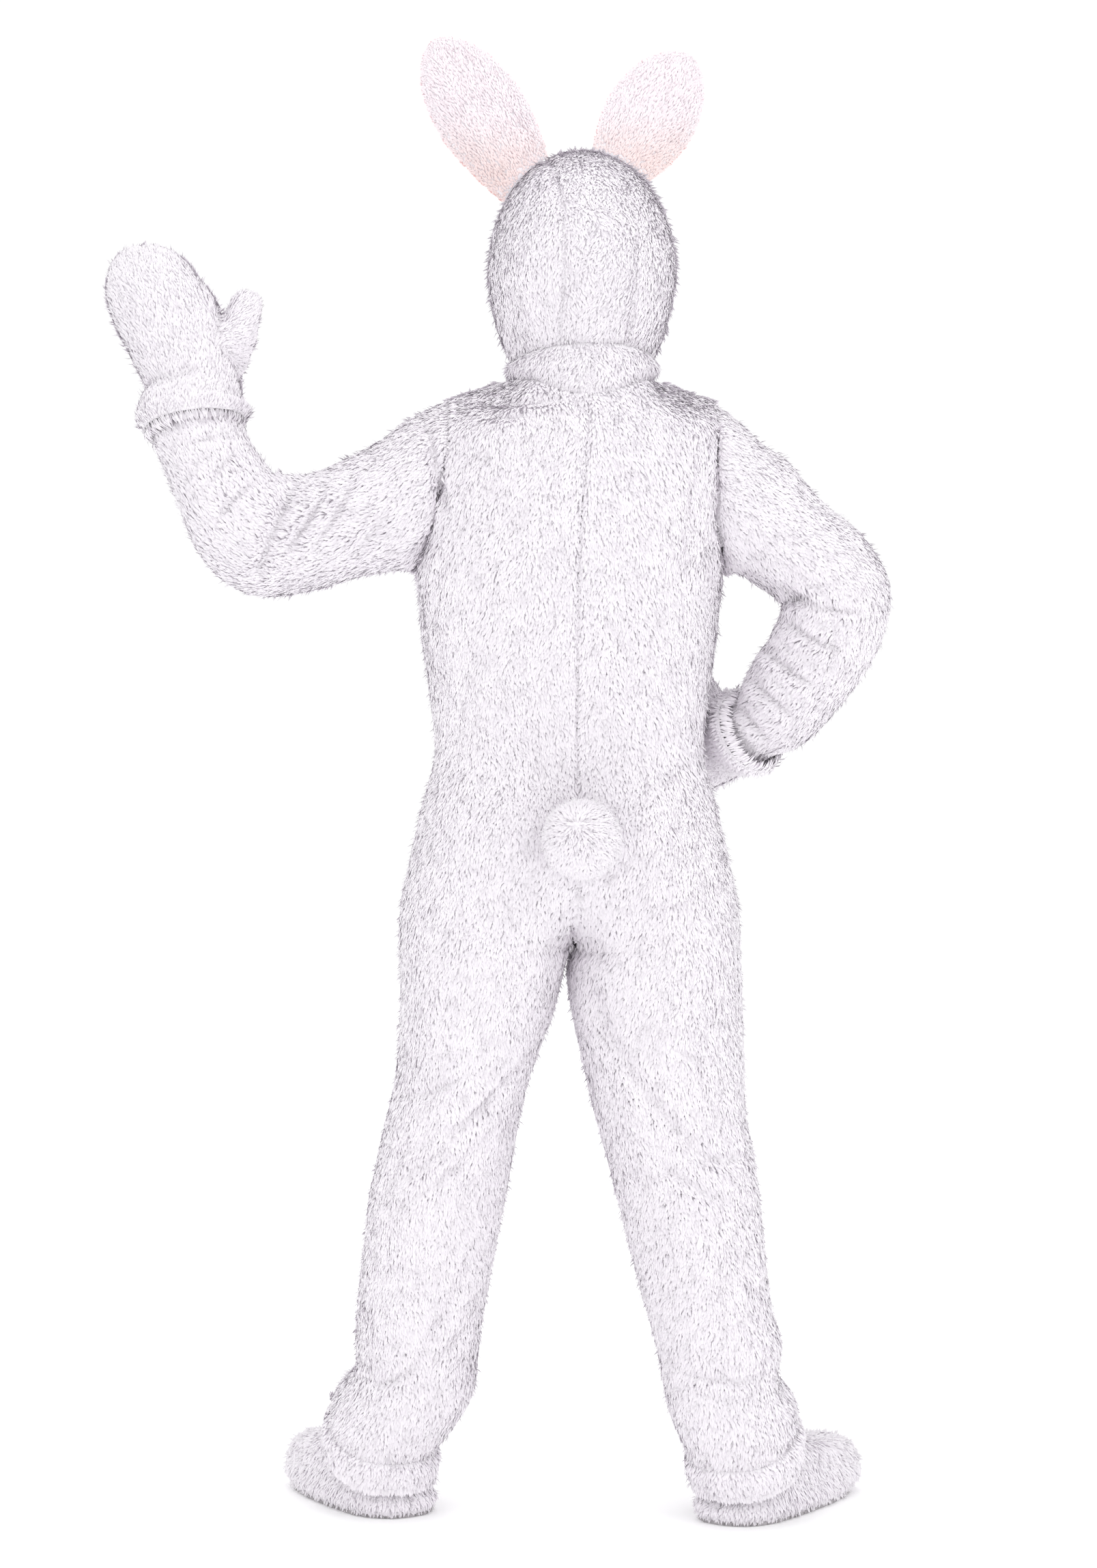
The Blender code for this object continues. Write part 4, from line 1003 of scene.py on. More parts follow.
@dataclass(frozen=True)
class Panel:
    """One cut piece of plush.

    Attributes:
        node: CAD node that it replaces.
        flat: Width and length of the cut.
        area: Flat area of the cut.
        nap: The way its pile lies.
        held: How the cloth is held.
        rests_on: What carries it.
        wall: Thickness of its CAD wall.
        levels: Subdivision levels of the backing.
        hairs: Sizes of its pile.
        seam: Depth of the groove along its edges.
        seam_width: Half width of that groove.
        ruff: Whether tufts also stand over the edges that the pile runs away from.
        fringe_below: Height under which tufts also lie over the edges that the pile runs along.
        pile: Finish of the pile.
        backing: Finish of the backing.
        slot: The record's material slot.
        seed: Seed of its tufts.
    """

    node: str
    flat: tuple[float, float]
    area: float
    nap: Nap
    held: Held = Held.HUNG
    rests_on: tuple[str, ...] = ()
    wall: float = 6.0 * MM
    levels: int = 2
    hairs: Hairs = field(default_factory=Hairs)
    seam: float = 1.8 * MM
    seam_width: float = 3.6 * MM
    ruff: bool = False
    fringe_below: float = math.inf
    pile: Look = Look.WHITE_PILE
    backing: Look = Look.KNIT
    slot: Slot = Slot.WHITE_FUR
    seed: int = 1

    def build(self, frame: dict, wardrobe: Wardrobe) -> bpy.types.Object:
        """Args:
            frame: The loaded frame.
            wardrobe: The finishes.

        Returns:
            The backing, which carries the pile.
        """
        side = OuterSide(frame["nodes"][self.node], self.wall, self.levels)
        backing = self._backing(side, wardrobe)
        pile = Pile(self, side).build(wardrobe)
        mount(self.slot, backing, pile)
        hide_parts(self.node)
        tufts = len(pile.data.polygons) // 2
        log.info("%s: %d backing faces, %d tufts", self.node, len(backing.data.polygons), tufts)
        return backing

    def groove(self, gap: np.ndarray, share: np.ndarray) -> np.ndarray:
        """Depth of the seam groove at a distance from an edge that shows by a share."""
        return self.seam * share * np.exp(-((gap / self.seam_width) ** 2))

    def bent(self, spots: Spots, crease: np.ndarray) -> np.ndarray:
        """Normals of the cloth once creases and grooves have shaped it.

        Args:
            spots: Places on the outer side.
            crease: Depth of the creases there.

        Returns:
            One unit vector for each place.
        """
        step = 1.0 * MM
        first = unit(np.cross(spots.normals, (0.31, 0.17, 0.93)))
        second = np.cross(spots.normals, first)
        slope = np.zeros_like(spots.points)
        for way in (first, second):
            rise = (creased(spots.points + way * step, spots.normals) - crease) / step
            slope += way * rise[:, None]
        fall = self.groove(spots.gap, spots.share) * (-2 * spots.gap / self.seam_width**2)
        slope += spots.inward * fall[:, None]
        return unit(spots.normals + slope)

    def backing_depth(self, gap: np.ndarray) -> np.ndarray:
        """Depth of the backing under the pile's surface, by its distance from the edge."""
        share = soft_step(gap / self.hairs.edge_reach)
        return self.hairs.edge_depth + (self.hairs.depth - self.hairs.edge_depth) * share

    def _backing(self, side: OuterSide, wardrobe: Wardrobe) -> bpy.types.Object:
        """Builds a closed thin shell under the pile.

        Args:
            side: The outer side of the CAD solid.
            wardrobe: The finishes.

        Returns:
            The shell.
        """
        creases = creased(side.points, side.normals)
        # The backing keeps clear of the creases between its own vertices.
        deepest = np.maximum(creases, 0.0)
        for first, second in ((0, 1), (1, 2), (2, 0)):
            np.maximum.at(deepest, side.triangles[:, first], creases[side.triangles[:, second]])
            np.maximum.at(deepest, side.triangles[:, second], creases[side.triangles[:, first]])
        groove = self.groove(side.seam_gap, side.seam_share)
        depth = self.backing_depth(side.seam_gap) + groove + deepest
        thin = np.minimum(SKIN, 0.5 * self.backing_depth(side.seam_gap) + 0.4 * MM)
        depth = np.minimum(depth, self.wall + TROUGH_ROOM)
        outer = side.points - side.normals * depth[:, None]
        inner = outer - side.normals * thin[:, None]
        count = len(outer)
        a, b = side.edge_loop[:, 0], side.edge_loop[:, 1]
        near = np.stack([b, a, a + count], axis=1)
        far = np.stack([b, a + count, b + count], axis=1)
        faces = np.concatenate([side.triangles, side.triangles[:, ::-1] + count, near, far])
        points = np.concatenate([outer, inner])
        return mesh_object(self.node + "_cloth", points, faces, wardrobe.get(self.backing))


class Pile:
    """Tufts over one panel, two triangles each."""

    # Tufts in a metre of edge, and how far in from the edge they root.
    EDGE_DENSITY = 1500.0
    EDGE_DEPTH = 3.0 * MM
    # How squarely the pile has to run over an edge for tufts to lie over it, with a fringe and
    # without one.
    WITH_FRINGE, WITHOUT_FRINGE = -0.5, 0.3
    # Patches in which neighbouring tufts turn, lean or grow alike.
    CLUMP, DRIFT, SWEEP = 8 * MM, 30 * MM, 90 * MM
    SWELL, LEAN = 9 * MM, 11 * MM
    # Turn of the tufts over a whole sweep, in radians.
    SWEEP_TURN = 0.30
    # Unevenness of length, in patches and tuft by tuft, and its bounds.
    PATCHY_LENGTH, ODD_LENGTH = 0.14, 0.10
    LENGTHS = (0.6, 1.45)
    # Unevenness of lean in the same way, in radians, and the most and least that a stray stands up.
    PATCHY_LEAN, ODD_LEAN = 0.10, 0.06
    STRAY_LEAN = (0.25, 0.85)
    # How much shorter tufts are at a seam, and how much longer those that turn in over a cuff.
    SEAM_CUT, TUCK_LENGTH = 0.30, 0.8
    # Length left where the cloth is thinnest.
    THIN_LENGTH = 0.45
    # Most turn of a tuft about its own length, and its least and most half width.
    ROLL = 0.26
    HALF_WIDTHS = (0.4, 0.7)
    # How high the lowest tips stay over the floor.
    FLOOR_ROOM = 0.4 * MM
    # Unevenness of colour, tuft by tuft and in patches.
    ODD_TINT, PATCHY_TINT = 0.010, 0.008

    def __init__(self, panel: Panel, side: OuterSide) -> None:
        """Seeds the tufts.

        Args:
            panel: The cut piece.
            side: Its outer side.
        """
        self.panel = panel
        self.side = side
        self.random = np.random.default_rng(panel.seed)
        self.noise = SmoothNoise(panel.seed + 100)

    def _area_spots(self) -> Spots:
        """Spreads places evenly on the outer side.

        Returns:
            The places.
        """
        side = self.side
        a, b, c = (side.points[side.triangles[:, k]] for k in range(3))
        areas = np.linalg.norm(np.cross(b - a, c - a), axis=1) / 2
        total = areas.cumsum()
        count = int(total[-1] * self.panel.hairs.density)
        places = (np.arange(count) + self.random.random(count)) * total[-1] / count
        chosen = np.minimum(np.searchsorted(total, places), len(areas) - 1)
        # Steps that share no common part spread the tufts evenly inside each triangle.
        u, v = (np.outer(EVEN_STEPS, np.arange(count)) + self.random.random((2, 1))) % 1
        over = u + v > 1
        u[over], v[over] = 1 - u[over], 1 - v[over]
        weights = np.stack([1 - u - v, u, v], axis=1)
        return Spots.blended(side, side.triangles[chosen], weights)

    def _edge_spots(self) -> tuple[Spots, np.ndarray, np.ndarray]:
        """Spreads places along the edges.

        Returns:
            The places, the way out over the edge at each, and how squarely the pile runs over it.
        """
        side = self.side
        loop = side.edge_loop
        if not len(loop):
            none = Spots.blended(side, np.zeros((0, 2), dtype=int), np.zeros((0, 2)))
            return none, np.zeros((0, 3)), np.zeros(0)
        lengths = np.linalg.norm(side.points[loop[:, 1]] - side.points[loop[:, 0]], axis=1)
        total = lengths.cumsum()
        count = int(total[-1] * self.EDGE_DENSITY)
        places = (np.arange(count) + self.random.random(count)) * total[-1] / count
        chosen = np.minimum(np.searchsorted(total, places), len(loop) - 1)
        share = self.random.random(count)
        spots = Spots.blended(side, loop[chosen], np.stack([1 - share, share], axis=1))
        along = unit(side.points[loop[chosen, 1]] - side.points[loop[chosen, 0]])
        out = unit(np.cross(along, spots.normals))
        crossing = (self.panel.nap.directions(spots.points) * out).sum(axis=1)
        low = spots.points[:, 2] < self.panel.fringe_below
        least = np.where(low, self.WITH_FRINGE, self.WITHOUT_FRINGE)
        kept = (crossing > least) | self.panel.ruff
        depth = self.EDGE_DEPTH * self.random.random(count)
        spots.points -= out * depth[:, None]
        return spots.chosen(kept), out[kept], crossing[kept]

    def _laid(self, spots: Spots) -> np.ndarray:
        """Lays the tufts along the cloth, with clumps and unrest.

        Args:
            spots: Places of the tufts.

        Returns:
            One direction for each.
        """
        points, normals = spots.points, spots.normals
        ways = self.panel.nap.directions(points)
        ways = unit(ways - normals * (ways * normals).sum(axis=1)[:, None])
        hairs = self.panel.hairs
        turn = hairs.clump * self.noise.sample(points, self.CLUMP)
        turn += 0.6 * hairs.clump * self.noise.sample(points + 3.0, self.DRIFT)
        turn += self.SWEEP_TURN * self.noise.sample(points + 7.0, self.SWEEP)
        turn += hairs.unrest * self.random.standard_normal(len(points))
        across = np.cross(normals, ways)
        return ways * np.cos(turn)[:, None] + across * np.sin(turn)[:, None]

    def build(self, wardrobe: Wardrobe) -> bpy.types.Object:
        """Grows the tufts.

        Args:
            wardrobe: The finishes.

        Returns:
            The pile's object.
        """
        panel, hairs = self.panel, self.panel.hairs
        area = self._area_spots()
        edge, out, crossing = self._edge_spots()
        spots = area.joined(edge)
        count = len(spots.points)
        crease = creased(spots.points, spots.normals)
        depth = panel.backing_depth(spots.gap) + panel.groove(spots.gap, spots.share) + crease
        depth = np.minimum(depth, panel.wall + TROUGH_ROOM)
        roots = spots.points - spots.normals * depth[:, None]
        spots.normals = panel.bent(spots, crease)
        ways = self._laid(spots)
        over = len(area.points)
        ways[over:] = unit((1.35 - np.abs(crossing))[:, None] * ways[over:] + out)
        normals = spots.normals
        swell = self.noise.sample(spots.points + 11.0, self.SWELL)
        odd = self.random.standard_normal(count)
        grown = 1 + self.PATCHY_LENGTH * swell + self.ODD_LENGTH * odd
        short = 1 - self.SEAM_CUT * spots.share * np.exp(-((spots.gap / panel.seam_width) ** 2))
        # Tufts that stand over an edge against the pile are longer and turn in over it.
        tuck = np.zeros(count)
        tuck[over:] = crossing < -0.5
        short[over:] = hairs.edge_length * (1 + self.TUCK_LENGTH * tuck[over:])
        share = panel.backing_depth(spots.gap) / hairs.depth
        thin = self.THIN_LENGTH + (1 - self.THIN_LENGTH) * share
        length = hairs.length * np.clip(grown, *self.LENGTHS) * short * thin
        lean = self.PATCHY_LEAN * self.noise.sample(spots.points + 17.0, self.LEAN)
        lean += self.ODD_LEAN * self.random.standard_normal(count)
        strays = self.random.random(count) < hairs.stray
        standing = strays * self.random.uniform(*self.STRAY_LEAN, count)
        first = hairs.first_lean + lean - standing + TUCK[0] * tuck
        last = hairs.last_lean + 0.7 * lean - standing + TUCK[1] * tuck
        half = length[:, None] / 2
        lower = unit(ways * np.sin(first)[:, None] + normals * np.cos(first)[:, None])
        upper = unit(ways * np.sin(last)[:, None] + normals * np.cos(last)[:, None])
        middles = roots + lower * half
        tips = middles + upper * half
        tips[:, 2] = np.maximum(tips[:, 2], self.FLOOR_ROOM - NECK_HEIGHT)
        across = unit(np.cross(normals, ways))
        roll = self.random.uniform(-self.ROLL, self.ROLL, count)
        rise = np.cross(unit(lower + upper), across)
        flank = across * np.cos(roll)[:, None] + rise * np.sin(roll)[:, None]
        wide = flank * (hairs.width * self.random.uniform(*self.HALF_WIDTHS, count))[:, None]
        verts = np.stack([roots, middles - wide, middles + wide, tips], axis=1)
        base = 4 * np.arange(count)[:, None]
        faces = np.concatenate([base + (0, 1, 2), base + (1, 3, 2)], axis=1).reshape(-1, 3)
        finish = wardrobe.get(panel.pile)
        obj = mesh_object(panel.node + "_pile", verts.reshape(-1, 3), faces, finish)
        self._shade(obj, normals, np.stack([lower, unit(lower + upper), upper], axis=1), flank)
        self._tint(obj, spots.points, swell)
        return obj

    @staticmethod
    def _shade(
        obj: bpy.types.Object, normals: np.ndarray, ways: np.ndarray, flank: np.ndarray
    ) -> None:
        """Blends the cloth's normal into the shading of its tufts.

        Args:
            obj: The pile.
            normals: The cloth's normal under each tuft.
            ways: Directions of a tuft at its root, middle and tip.
            flank: Direction across each tuft.
        """
        own = unit(np.cross(ways, flank[:, None]))
        own *= np.sign((own * normals[:, None]).sum(axis=2))[:, :, None]
        mixed = unit(CLOTH_SHADING * normals[:, None] + TIP_SHADING * ways + FACE_SHADING * own)
        corners = mixed[:, [0, 1, 1, 2]].reshape(-1, 3)
        obj.data.normals_split_custom_set_from_vertices(corners)

    def _tint(self, obj: bpy.types.Object, points: np.ndarray, swell: np.ndarray) -> None:
        """Gives each tuft its colour from root to tip.

        Args:
            obj: The pile.
            points: Places of the tufts.
            swell: Noise that lengthens them in patches.
        """
        look: PlushPile = self.panel.pile.value
        root, tip = np.array(linear(look.root)), np.array(linear(look.tip))
        tips = np.tile(tip, (len(points), 1))
        # Towards the lower end of the cloth the tips turn to the base colour.
        if look.base is not None:
            low, high = points[:, 2].min(), points[:, 2].max()
            share = soft_step(1.1 - 1.9 * (points[:, 2] - low) / (high - low))[:, None]
            tips = tips * (1 - share) + np.array(linear(look.base)) * share
        # The roots, and the middles between them and the tips, are darker than the tips: painted
        # shade deep in the pile.
        roots = np.tile(root, (len(points), 1)) * (tips / tip)
        odd = self.random.standard_normal(len(points))
        value = 1 + self.ODD_TINT * odd + self.PATCHY_TINT * swell
        middles = 0.4 * roots + 0.6 * tips
        colours = np.stack([roots, middles, middles, tips], axis=1)
        colours[:, :, :3] *= value[:, None, None]
        colours = np.clip(colours, 0, 1)
        layer = obj.data.color_attributes.new("Tint", "FLOAT_COLOR", "POINT")
        layer.data.foreach_set("color", colours.astype(np.float32).ravel())


DOWN = StraightNap((0.0, 0.0, -1.0))
CROWN = AwayNap((-0.020, -0.060, 0.262), (0.0, 0.0, -0.35))
LEFT_ARM = PathNap(
    (
        (0.130, 0.000, -0.060), (0.200, 0.000, -0.124), (0.262, -0.002, -0.142),
        (0.318, -0.006, -0.138), (0.348, -0.014, -0.100), (0.367, -0.024, -0.066),
        (0.380, -0.040, -0.021),
    )
)
RIGHT_ARM = PathNap(
    (
        (-0.140, 0.000, -0.060), (-0.200, 0.009, -0.128), (-0.240, 0.018, -0.165),
        (-0.271, 0.025, -0.215), (-0.252, 0.017, -0.266), (-0.220, 0.003, -0.312),
        (-0.184, -0.020, -0.347),
    )
)
LEFT_HAND = PathNap(
    (
        (0.381, -0.038, -0.025), (0.379, -0.046, 0.009), (0.402, -0.060, 0.068),
        (0.427, -0.075, 0.123), (0.431, -0.082, 0.150),
    )
)
RIGHT_HAND = PathNap(
    (
        (-0.188, -0.012, -0.344), (-0.172, -0.043, -0.353), (-0.145, -0.102, -0.361),
        (-0.082, -0.145, -0.368), (-0.030, -0.153, -0.369),
    )
)

HAND_HAIRS = Hairs(
    depth=2.4 * MM, edge_depth=2.0 * MM, length=7.4 * MM, width=2.1 * MM,
    stray=0.10, edge_length=1.3,
)
SHOE_HAIRS = Hairs(
    depth=2.6 * MM, edge_depth=2.0 * MM, length=7.8 * MM, width=2.1 * MM,
    stray=0.10, edge_length=1.1,
)
BAND_HAIRS = Hairs(edge_depth=2.0 * MM, edge_length=1.1)
EAR_HAIRS = Hairs(
    depth=2.4 * MM, edge_depth=0.6 * MM, edge_reach=12.0 * MM, length=7.0 * MM, width=2.0 * MM,
)
CROWN_HAIRS = Hairs(unrest=0.30, clump=0.70, width=2.2 * MM)
# Below this height the back panels' pile closes over their seams.
CROTCH_HEIGHT = -0.470


@dataclass(frozen=True)
class Garment:
    """A part of the costume that is sewn as one.

    Attributes:
        name: What it is called.
        panels: Its cut pieces.
    """

    name: str
    panels: tuple[Panel, ...]

    def build(self, frame: dict, wardrobe: Wardrobe) -> None:
        """Builds every piece.

        Args:
            frame: The loaded frame.
            wardrobe: The finishes.
        """
        for panel in self.panels:
            panel.build(frame, wardrobe)
        log.info("%s done", self.name)


def hood() -> Garment:
    """The three panels of the hood and its collar.

    Returns:
        The garment.
    """
    sewn = Held.STRETCHED
    common = dict(nap=CROWN, held=sewn, rests_on=("collar",), seam=3.0 * MM, fringe_below=-math.inf)
    side = dict(flat=(0.170, 0.270), area=0.0398, **common)
    return Garment(
        "hood",
        (
            Panel("hood_side_left", seed=11, **side),
            Panel("hood_side_right", seed=12, **side),
            Panel("hood_gusset", (0.080, 0.360), 0.0266, hairs=CROWN_HAIRS, seed=13, **common),
            Panel(
                "collar", (0.420, 0.034), 0.0123, DOWN, sewn, ("back_left",),
                hairs=CROWN_HAIRS, ruff=True, seed=14,
            ),
        ),
    )


def suit() -> Garment:
    """The four long panels, the sleeves and the gathered hems.

    Returns:
        The garment.
    """
    hung = Held.HUNG
    long = dict(nap=DOWN, held=hung, rests_on=("collar",))
    back = dict(
        flat=(0.270, 1.150), seam=2.4 * MM, seam_width=2.8 * MM, fringe_below=CROTCH_HEIGHT, **long
    )
    front = dict(flat=(0.270, 1.130), **long)
    sleeve = dict(flat=(0.460, 0.380), held=hung, ruff=True, seam=1.4 * MM)
    band = dict(flat=(0.440, 0.030), nap=DOWN, held=Held.GATHERED, hairs=BAND_HAIRS, ruff=True)
    on_left, on_right = ("back_left",), ("back_right",)
    return Garment(
        "suit",
        (
            Panel("back_left", area=0.236, seed=21, **back),
            Panel("back_right", area=0.237, seed=22, **back),
            Panel("front_left", area=0.228, seed=23, **front),
            Panel("front_right", area=0.231, seed=24, **front),
            Panel("sleeve_left", area=0.117, nap=LEFT_ARM, rests_on=on_left, seed=25, **sleeve),
            Panel("sleeve_right", area=0.114, nap=RIGHT_ARM, rests_on=on_right, seed=26, **sleeve),
            Panel("ankle_band_left", area=0.0115, rests_on=on_left, seed=27, **band),
            Panel("ankle_band_right", area=0.0118, rests_on=on_right, seed=28, **band),
        ),
    )


def mittens() -> Garment:
    """Both mittens: back, palm and thumb.

    Returns:
        The garment.
    """
    common = dict(held=Held.STRETCHED, wall=4.0 * MM, hairs=HAND_HAIRS, seam=0.7 * MM, ruff=True)
    half = dict(flat=(0.135, 0.210), **common)
    thumb = dict(flat=(0.120, 0.085), **common)
    # Hand, its nap, the root of its thumb, the flat areas of back, palm and thumb, and a seed.
    hands = (
        ("left", LEFT_HAND, (0.386, -0.052, 0.045), (0.0252, 0.0261, 0.0091), 31),
        ("right", RIGHT_HAND, (-0.150, -0.090, -0.362), (0.0265, 0.0239, 0.0085), 34),
    )
    panels: list[Panel] = []
    for hand, nap, root, areas, seed in hands:
        back, palm, tip = (f"mitten_{hand}_{part}" for part in ("back", "palm", "thumb"))
        on = (f"sleeve_{hand}",)
        panels += [
            Panel(back, area=areas[0], nap=nap, rests_on=on, seed=seed, **half),
            Panel(palm, area=areas[1], nap=nap, rests_on=on, seed=seed + 1, **half),
            Panel(tip, area=areas[2], nap=AwayNap(root), rests_on=(back,), seed=seed + 2, **thumb),
        ]
    return Garment("mittens", tuple(panels))


def shoe_covers() -> Garment:
    """The two upper halves of each shoe cover.

    Returns:
        The garment.
    """
    common = dict(held=Held.STRETCHED, wall=4.0 * MM, hairs=SHOE_HAIRS, seam=0.7 * MM, ruff=True)
    # Foot, the top of its instep, the flat area of one half, and a seed.
    feet = (
        ("left", (0.188, -0.042, -1.040), 0.0215, 41),
        ("right", (-0.180, 0.028, -1.040), 0.0233, 43),
    )
    panels: list[Panel] = []
    for foot, top, area, first in feet:
        nap = AwayNap(top, (0.0, 0.0, -0.8))
        half = dict(flat=(0.110, 0.260), area=area, nap=nap, rests_on=(f"shoe_{foot}_sole",))
        panels += [
            Panel(f"shoe_{foot}_outer", seed=first, **half, **common),
            Panel(f"shoe_{foot}_inner", seed=first + 1, **half, **common),
        ]
    return Garment("shoe covers", tuple(panels))


def ears() -> Garment:
    """Two leaves for each ear, white behind and pink in front.

    Returns:
        The garment.
    """
    common = dict(
        flat=(0.094, 0.165), held=Held.STRETCHED, rests_on=("hood_gusset",), wall=8.2 * MM,
        hairs=EAR_HAIRS, seam=0.0,
    )
    blush = dict(pile=Look.BLUSH_PILE)
    pink = dict(pile=Look.PINK_PILE, backing=Look.PINK_KNIT, slot=Slot.PINK_FUR)
    # Ear, the way it points, the flat areas of its back and front, and a seed.
    leaves = (
        ("left", (0.089, -0.012, 0.135), (0.0130, 0.0126), 51),
        ("right", (-0.083, -0.060, 0.130), (0.0120, 0.0113), 53),
    )
    panels: list[Panel] = []
    for ear, way, areas, seed in leaves:
        leaf = dict(nap=StraightNap(way), **common)
        panels += [
            Panel(f"ear_{ear}_back", area=areas[0], seed=seed, **leaf, **blush),
            Panel(f"ear_{ear}_front", area=areas[1], seed=seed + 1, **leaf, **pink),
        ]
    return Garment("ears", tuple(panels))


class Tail:
    """The stuffed ball at the seat."""

    FLAT = (0.15, 0.15)
    AREA = 0.0175
    # A ray through the ball meets its far side within this.
    WALL = 0.1
    HAIRS = Hairs(
        density=290_000.0, depth=3.0 * MM, width=2.2 * MM, unrest=0.4, clump=0.5,
        first_lean=math.radians(60), last_lean=math.radians(77),
    )

    def build(self, frame: dict, wardrobe: Wardrobe) -> None:
        """Builds the ball and its pile.

        Args:
            frame: The loaded frame.
            wardrobe: The finishes.
        """
        low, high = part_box("tail")
        centre = tuple((np.array(low) + np.array(high)) / 2)
        nap = AwayNap((centre[0] + 0.01, high[1], centre[2] + 0.02), (0.0, 0.0, -0.1))
        panel = Panel(
            "tail", self.FLAT, self.AREA, nap, wall=self.WALL, hairs=self.HAIRS, seam=0.0, seed=61
        )
        side = OuterSide(frame["nodes"]["tail"], panel.wall, 2)
        depth = np.full(len(side.points), self.HAIRS.depth)
        core = side.points - side.normals * depth[:, None]
        ball = mesh_object("tail_ball", core, side.triangles, wardrobe.get(Look.KNIT))
        pile = Pile(panel, side).build(wardrobe)
        mount(Slot.WHITE_FUR, ball, pile)
        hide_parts("tail")
        log.info("tail: %d tufts", len(pile.data.polygons) // 2)


class Soles:
    """Felt soles with rounded edges."""

    ROUNDING = 1.2 * MM
    FLAT = (0.100, 0.235)
    AREA = 0.0185

    def build(self, frame: dict, wardrobe: Wardrobe) -> None:
        """Builds both soles.

        Args:
            frame: The loaded frame.
            wardrobe: The finishes.
        """
        for name in ("shoe_left_sole", "shoe_right_sole"):
            data = bmesh.new()
            data.from_mesh(frame["nodes"][name].data)
            bmesh.ops.remove_doubles(data, verts=data.verts, dist=WELD)
            bmesh.ops.dissolve_limit(data, angle_limit=0.02, verts=data.verts, edges=data.edges)
            sharp = [e for e in data.edges if e.calc_face_angle(0.0) > 1.0]
            bmesh.ops.bevel(
                data, geom=sharp, offset=self.ROUNDING, segments=3, profile=0.5, affect="EDGES"
            )
            mesh = baked(name + "_felt", data)
            mesh.shade_smooth()
            obj = add_object(name + "_felt", mesh, wardrobe.get(Look.SOLE))
            mount(Slot.GREY_SOLE, obj)
            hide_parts(name)
            log.info("%s done", name)


class Zip:
    """The closed coil zip inside the centre back."""

    TOOTH = (1.6 * MM, 0.9 * MM, 0.8 * MM)
    PITCH = 2.4 * MM
    FLAT = (0.024, 0.380)

    def build(self, frame: dict, wardrobe: Wardrobe) -> None:
        """Builds the tape and its teeth.

        Args:
            frame: The loaded frame.
            wardrobe: The finishes.
        """
        node = frame["nodes"]["back_zip_tape"]
        tape = add_object("zip_tape", node.data.copy(), wardrobe.get(Look.TAPE))
        points = np.array([tuple(v.co) for v in node.data.vertices])
        low, high = points[:, 2].min(), points[:, 2].max()
        heights = np.arange(low + self.PITCH, high - self.PITCH, self.PITCH)
        order = np.argsort(points[:, 2])
        middle = points[:, 0].mean()
        inner = np.interp(heights, points[order, 2], self._inner(points[order]))
        data = bmesh.new()
        for index, (height, y) in enumerate(zip(heights, inner)):
            shift = self.TOOTH[0] * (0.5 if index % 2 else -0.5)
            matrix = Matrix.Translation(Vector((middle + shift, y - 0.6 * MM, height)))
            matrix @= Matrix.Diagonal((*self.TOOTH, 1.0))
            bmesh.ops.create_cube(data, size=1.0, matrix=matrix)
        teeth = add_object("zip_teeth", baked("zip_teeth", data), wardrobe.get(Look.TEETH))
        mount(Slot.WHITE_TAPE, tape, teeth)
        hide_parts("back_zip_tape")
        log.info("zip: %d teeth", len(heights))

    @staticmethod
    def _inner(points: np.ndarray) -> np.ndarray:
        """Depth of the tape's inner face near each of its points."""
        return np.array([points[np.abs(points[:, 2] - z) < 15 * MM, 1].min() for z in points[:, 2]])


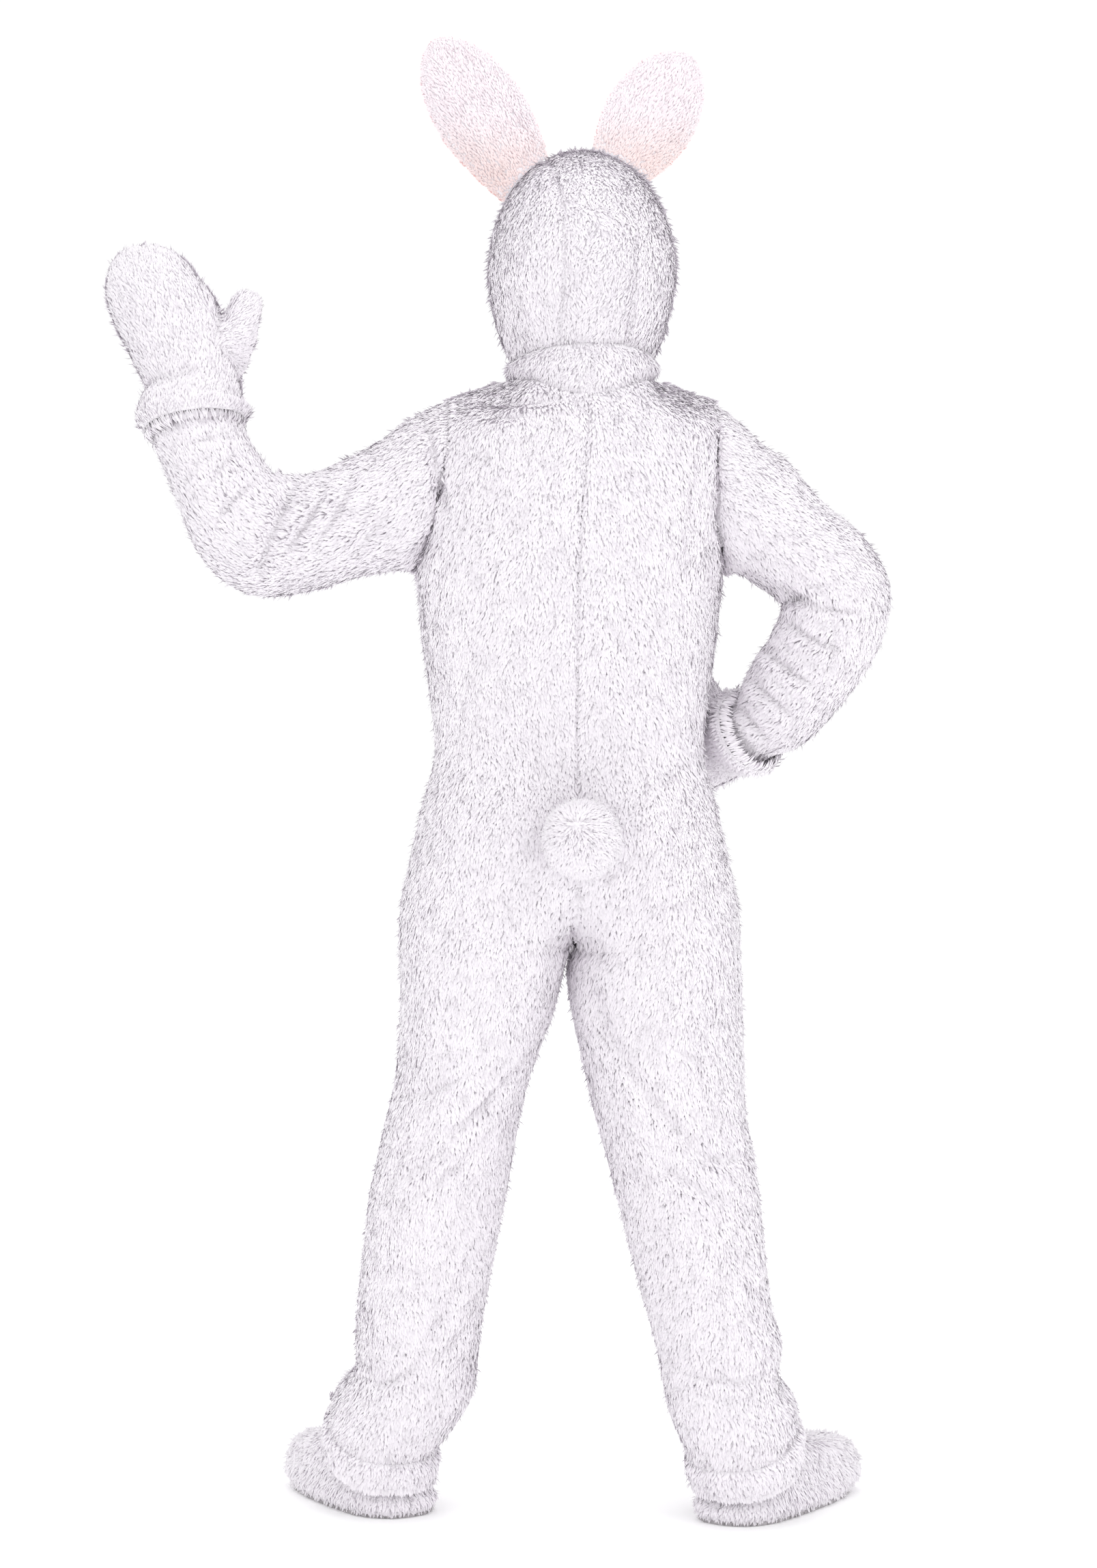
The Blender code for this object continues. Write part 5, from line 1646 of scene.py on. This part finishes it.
@dataclass(frozen=True)
class Studio:
    """A pale floor under soft even light, seen from the photograph's place.

    Attributes:
        distance: From the camera to the middle of the costume.
        turn: Turn of the camera off the costume's back, in degrees.
        height: The camera's height over the floor.
        size: Width and height of the picture, in pixels.
        focal: Focal length in picture pixels.
        shift: Shift of the picture, in pixels.
        floor_reach: From the middle of the floor to its sides.
    """

    distance: float = 4.3
    turn: float = 5.0
    height: float = 0.9
    size: tuple[int, int] = (1607, 2296)
    focal: float = 6192.0
    shift: tuple[float, float] = (-30.5, -229.0)
    floor_reach: float = 9.0

    def build(self) -> None:
        """Adds floor, sky, lamps and camera."""
        self._floor()
        self._sky()
        self._lamp("Key", (-2.6, 3.2, 1.9), 2.2, 22.0)
        self._lamp("Fill", (3.2, 2.6, 0.4), 2.6, 5.0)
        self._lamp("Front", (0.6, -3.6, 1.2), 2.6, 20.0)
        self._lamp("Top", (0.3, 0.9, 2.4), 2.0, 8.0)
        self._camera()

    def _floor(self) -> None:
        """A wide pale plane."""
        made, tree, shader, place = new_material("PaleFloor", linear("#F6F6F6"))
        grain = add_node(tree, "ShaderNodeTexNoise", Vector=place, Scale=6.0)
        ramp = add_node(tree, "ShaderNodeValToRGB", Fac=grain.outputs["Fac"])
        dark, light = ramp.color_ramp.elements
        dark.color, light.color = linear("#F9F9FA"), linear("#FCFCFC")
        # A lit sweep of paper, nearly as bright as the wall behind it.
        connect(
            tree, shader, Base_Color=ramp.outputs["Color"], Roughness=0.9,
            Emission_Color=(1.0, 1.0, 1.0, 1.0), Emission_Strength=0.12,
        )
        corners = np.array([(-1, -1, 0), (1, -1, 0), (1, 1, 0), (-1, 1, 0)]) * self.floor_reach
        corners = corners - (0, 0, NECK_HEIGHT + FLOOR_GAP)
        floor = mesh_object("floor", corners, np.array([[0, 1, 2, 3]]), made)

    @staticmethod
    def _sky() -> None:
        """White light from all round."""
        world = bpy.data.worlds.new("Studio")
        world.use_nodes = True
        sky = world.node_tree.nodes["Background"]
        sky.inputs["Color"].default_value = (1.0, 1.0, 1.0, 1.0)
        sky.inputs["Strength"].default_value = 1.02
        bpy.context.scene.world = world
        # White plush passes light between its hairs many times.
        bpy.context.scene.cycles.diffuse_bounces = 8
        bpy.context.scene.view_settings.view_transform = "Standard"

    @staticmethod
    def _lamp(name: str, place: tuple[float, float, float], size: float, power: float) -> None:
        """Adds one large soft lamp aimed at the costume.

        Args:
            name: What it is called.
            place: Where it stands.
            size: Its width.
            power: Its power in watts.
        """
        data = bpy.data.lights.new(name, "AREA")
        data.shape = "DISK"
        data.size = size
        data.energy = power
        lamp = add_object(name, data)
        lamp.location = place
        aim = Vector((0.0, 0.0, -0.35)) - Vector(place)
        lamp.rotation_euler = aim.to_track_quat("-Z", "Y").to_euler()

    def _camera(self) -> None:
        """The photograph's view."""
        data = bpy.data.cameras.new("Camera")
        data.sensor_fit = "HORIZONTAL"
        data.sensor_width = 36.0
        data.lens = self.focal / self.size[0] * data.sensor_width
        data.shift_x = self.shift[0] / self.size[0]
        data.shift_y = self.shift[1] / self.size[0]
        camera = add_object("Camera", data)
        turn = math.radians(self.turn)
        way = Vector((math.sin(turn), math.cos(turn), 0.0))
        camera.location = way * self.distance + Vector((0.0, 0.0, self.height - NECK_HEIGHT))
        camera.rotation_euler = (-way).to_track_quat("-Z", "Y").to_euler()
        bpy.context.scene.camera = camera


def main() -> None:
    """Builds the dressed costume and its studio."""
    logging.basicConfig(level=logging.INFO, format="%(message)s")
    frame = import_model()
    wardrobe = Wardrobe()
    for garment in (suit(), hood(), ears(), mittens(), shoe_covers()):
        garment.build(frame, wardrobe)
    Tail().build(frame, wardrobe)
    Soles().build(frame, wardrobe)
    Zip().build(frame, wardrobe)
    Studio().build()


if __name__ == "__main__":
    main()
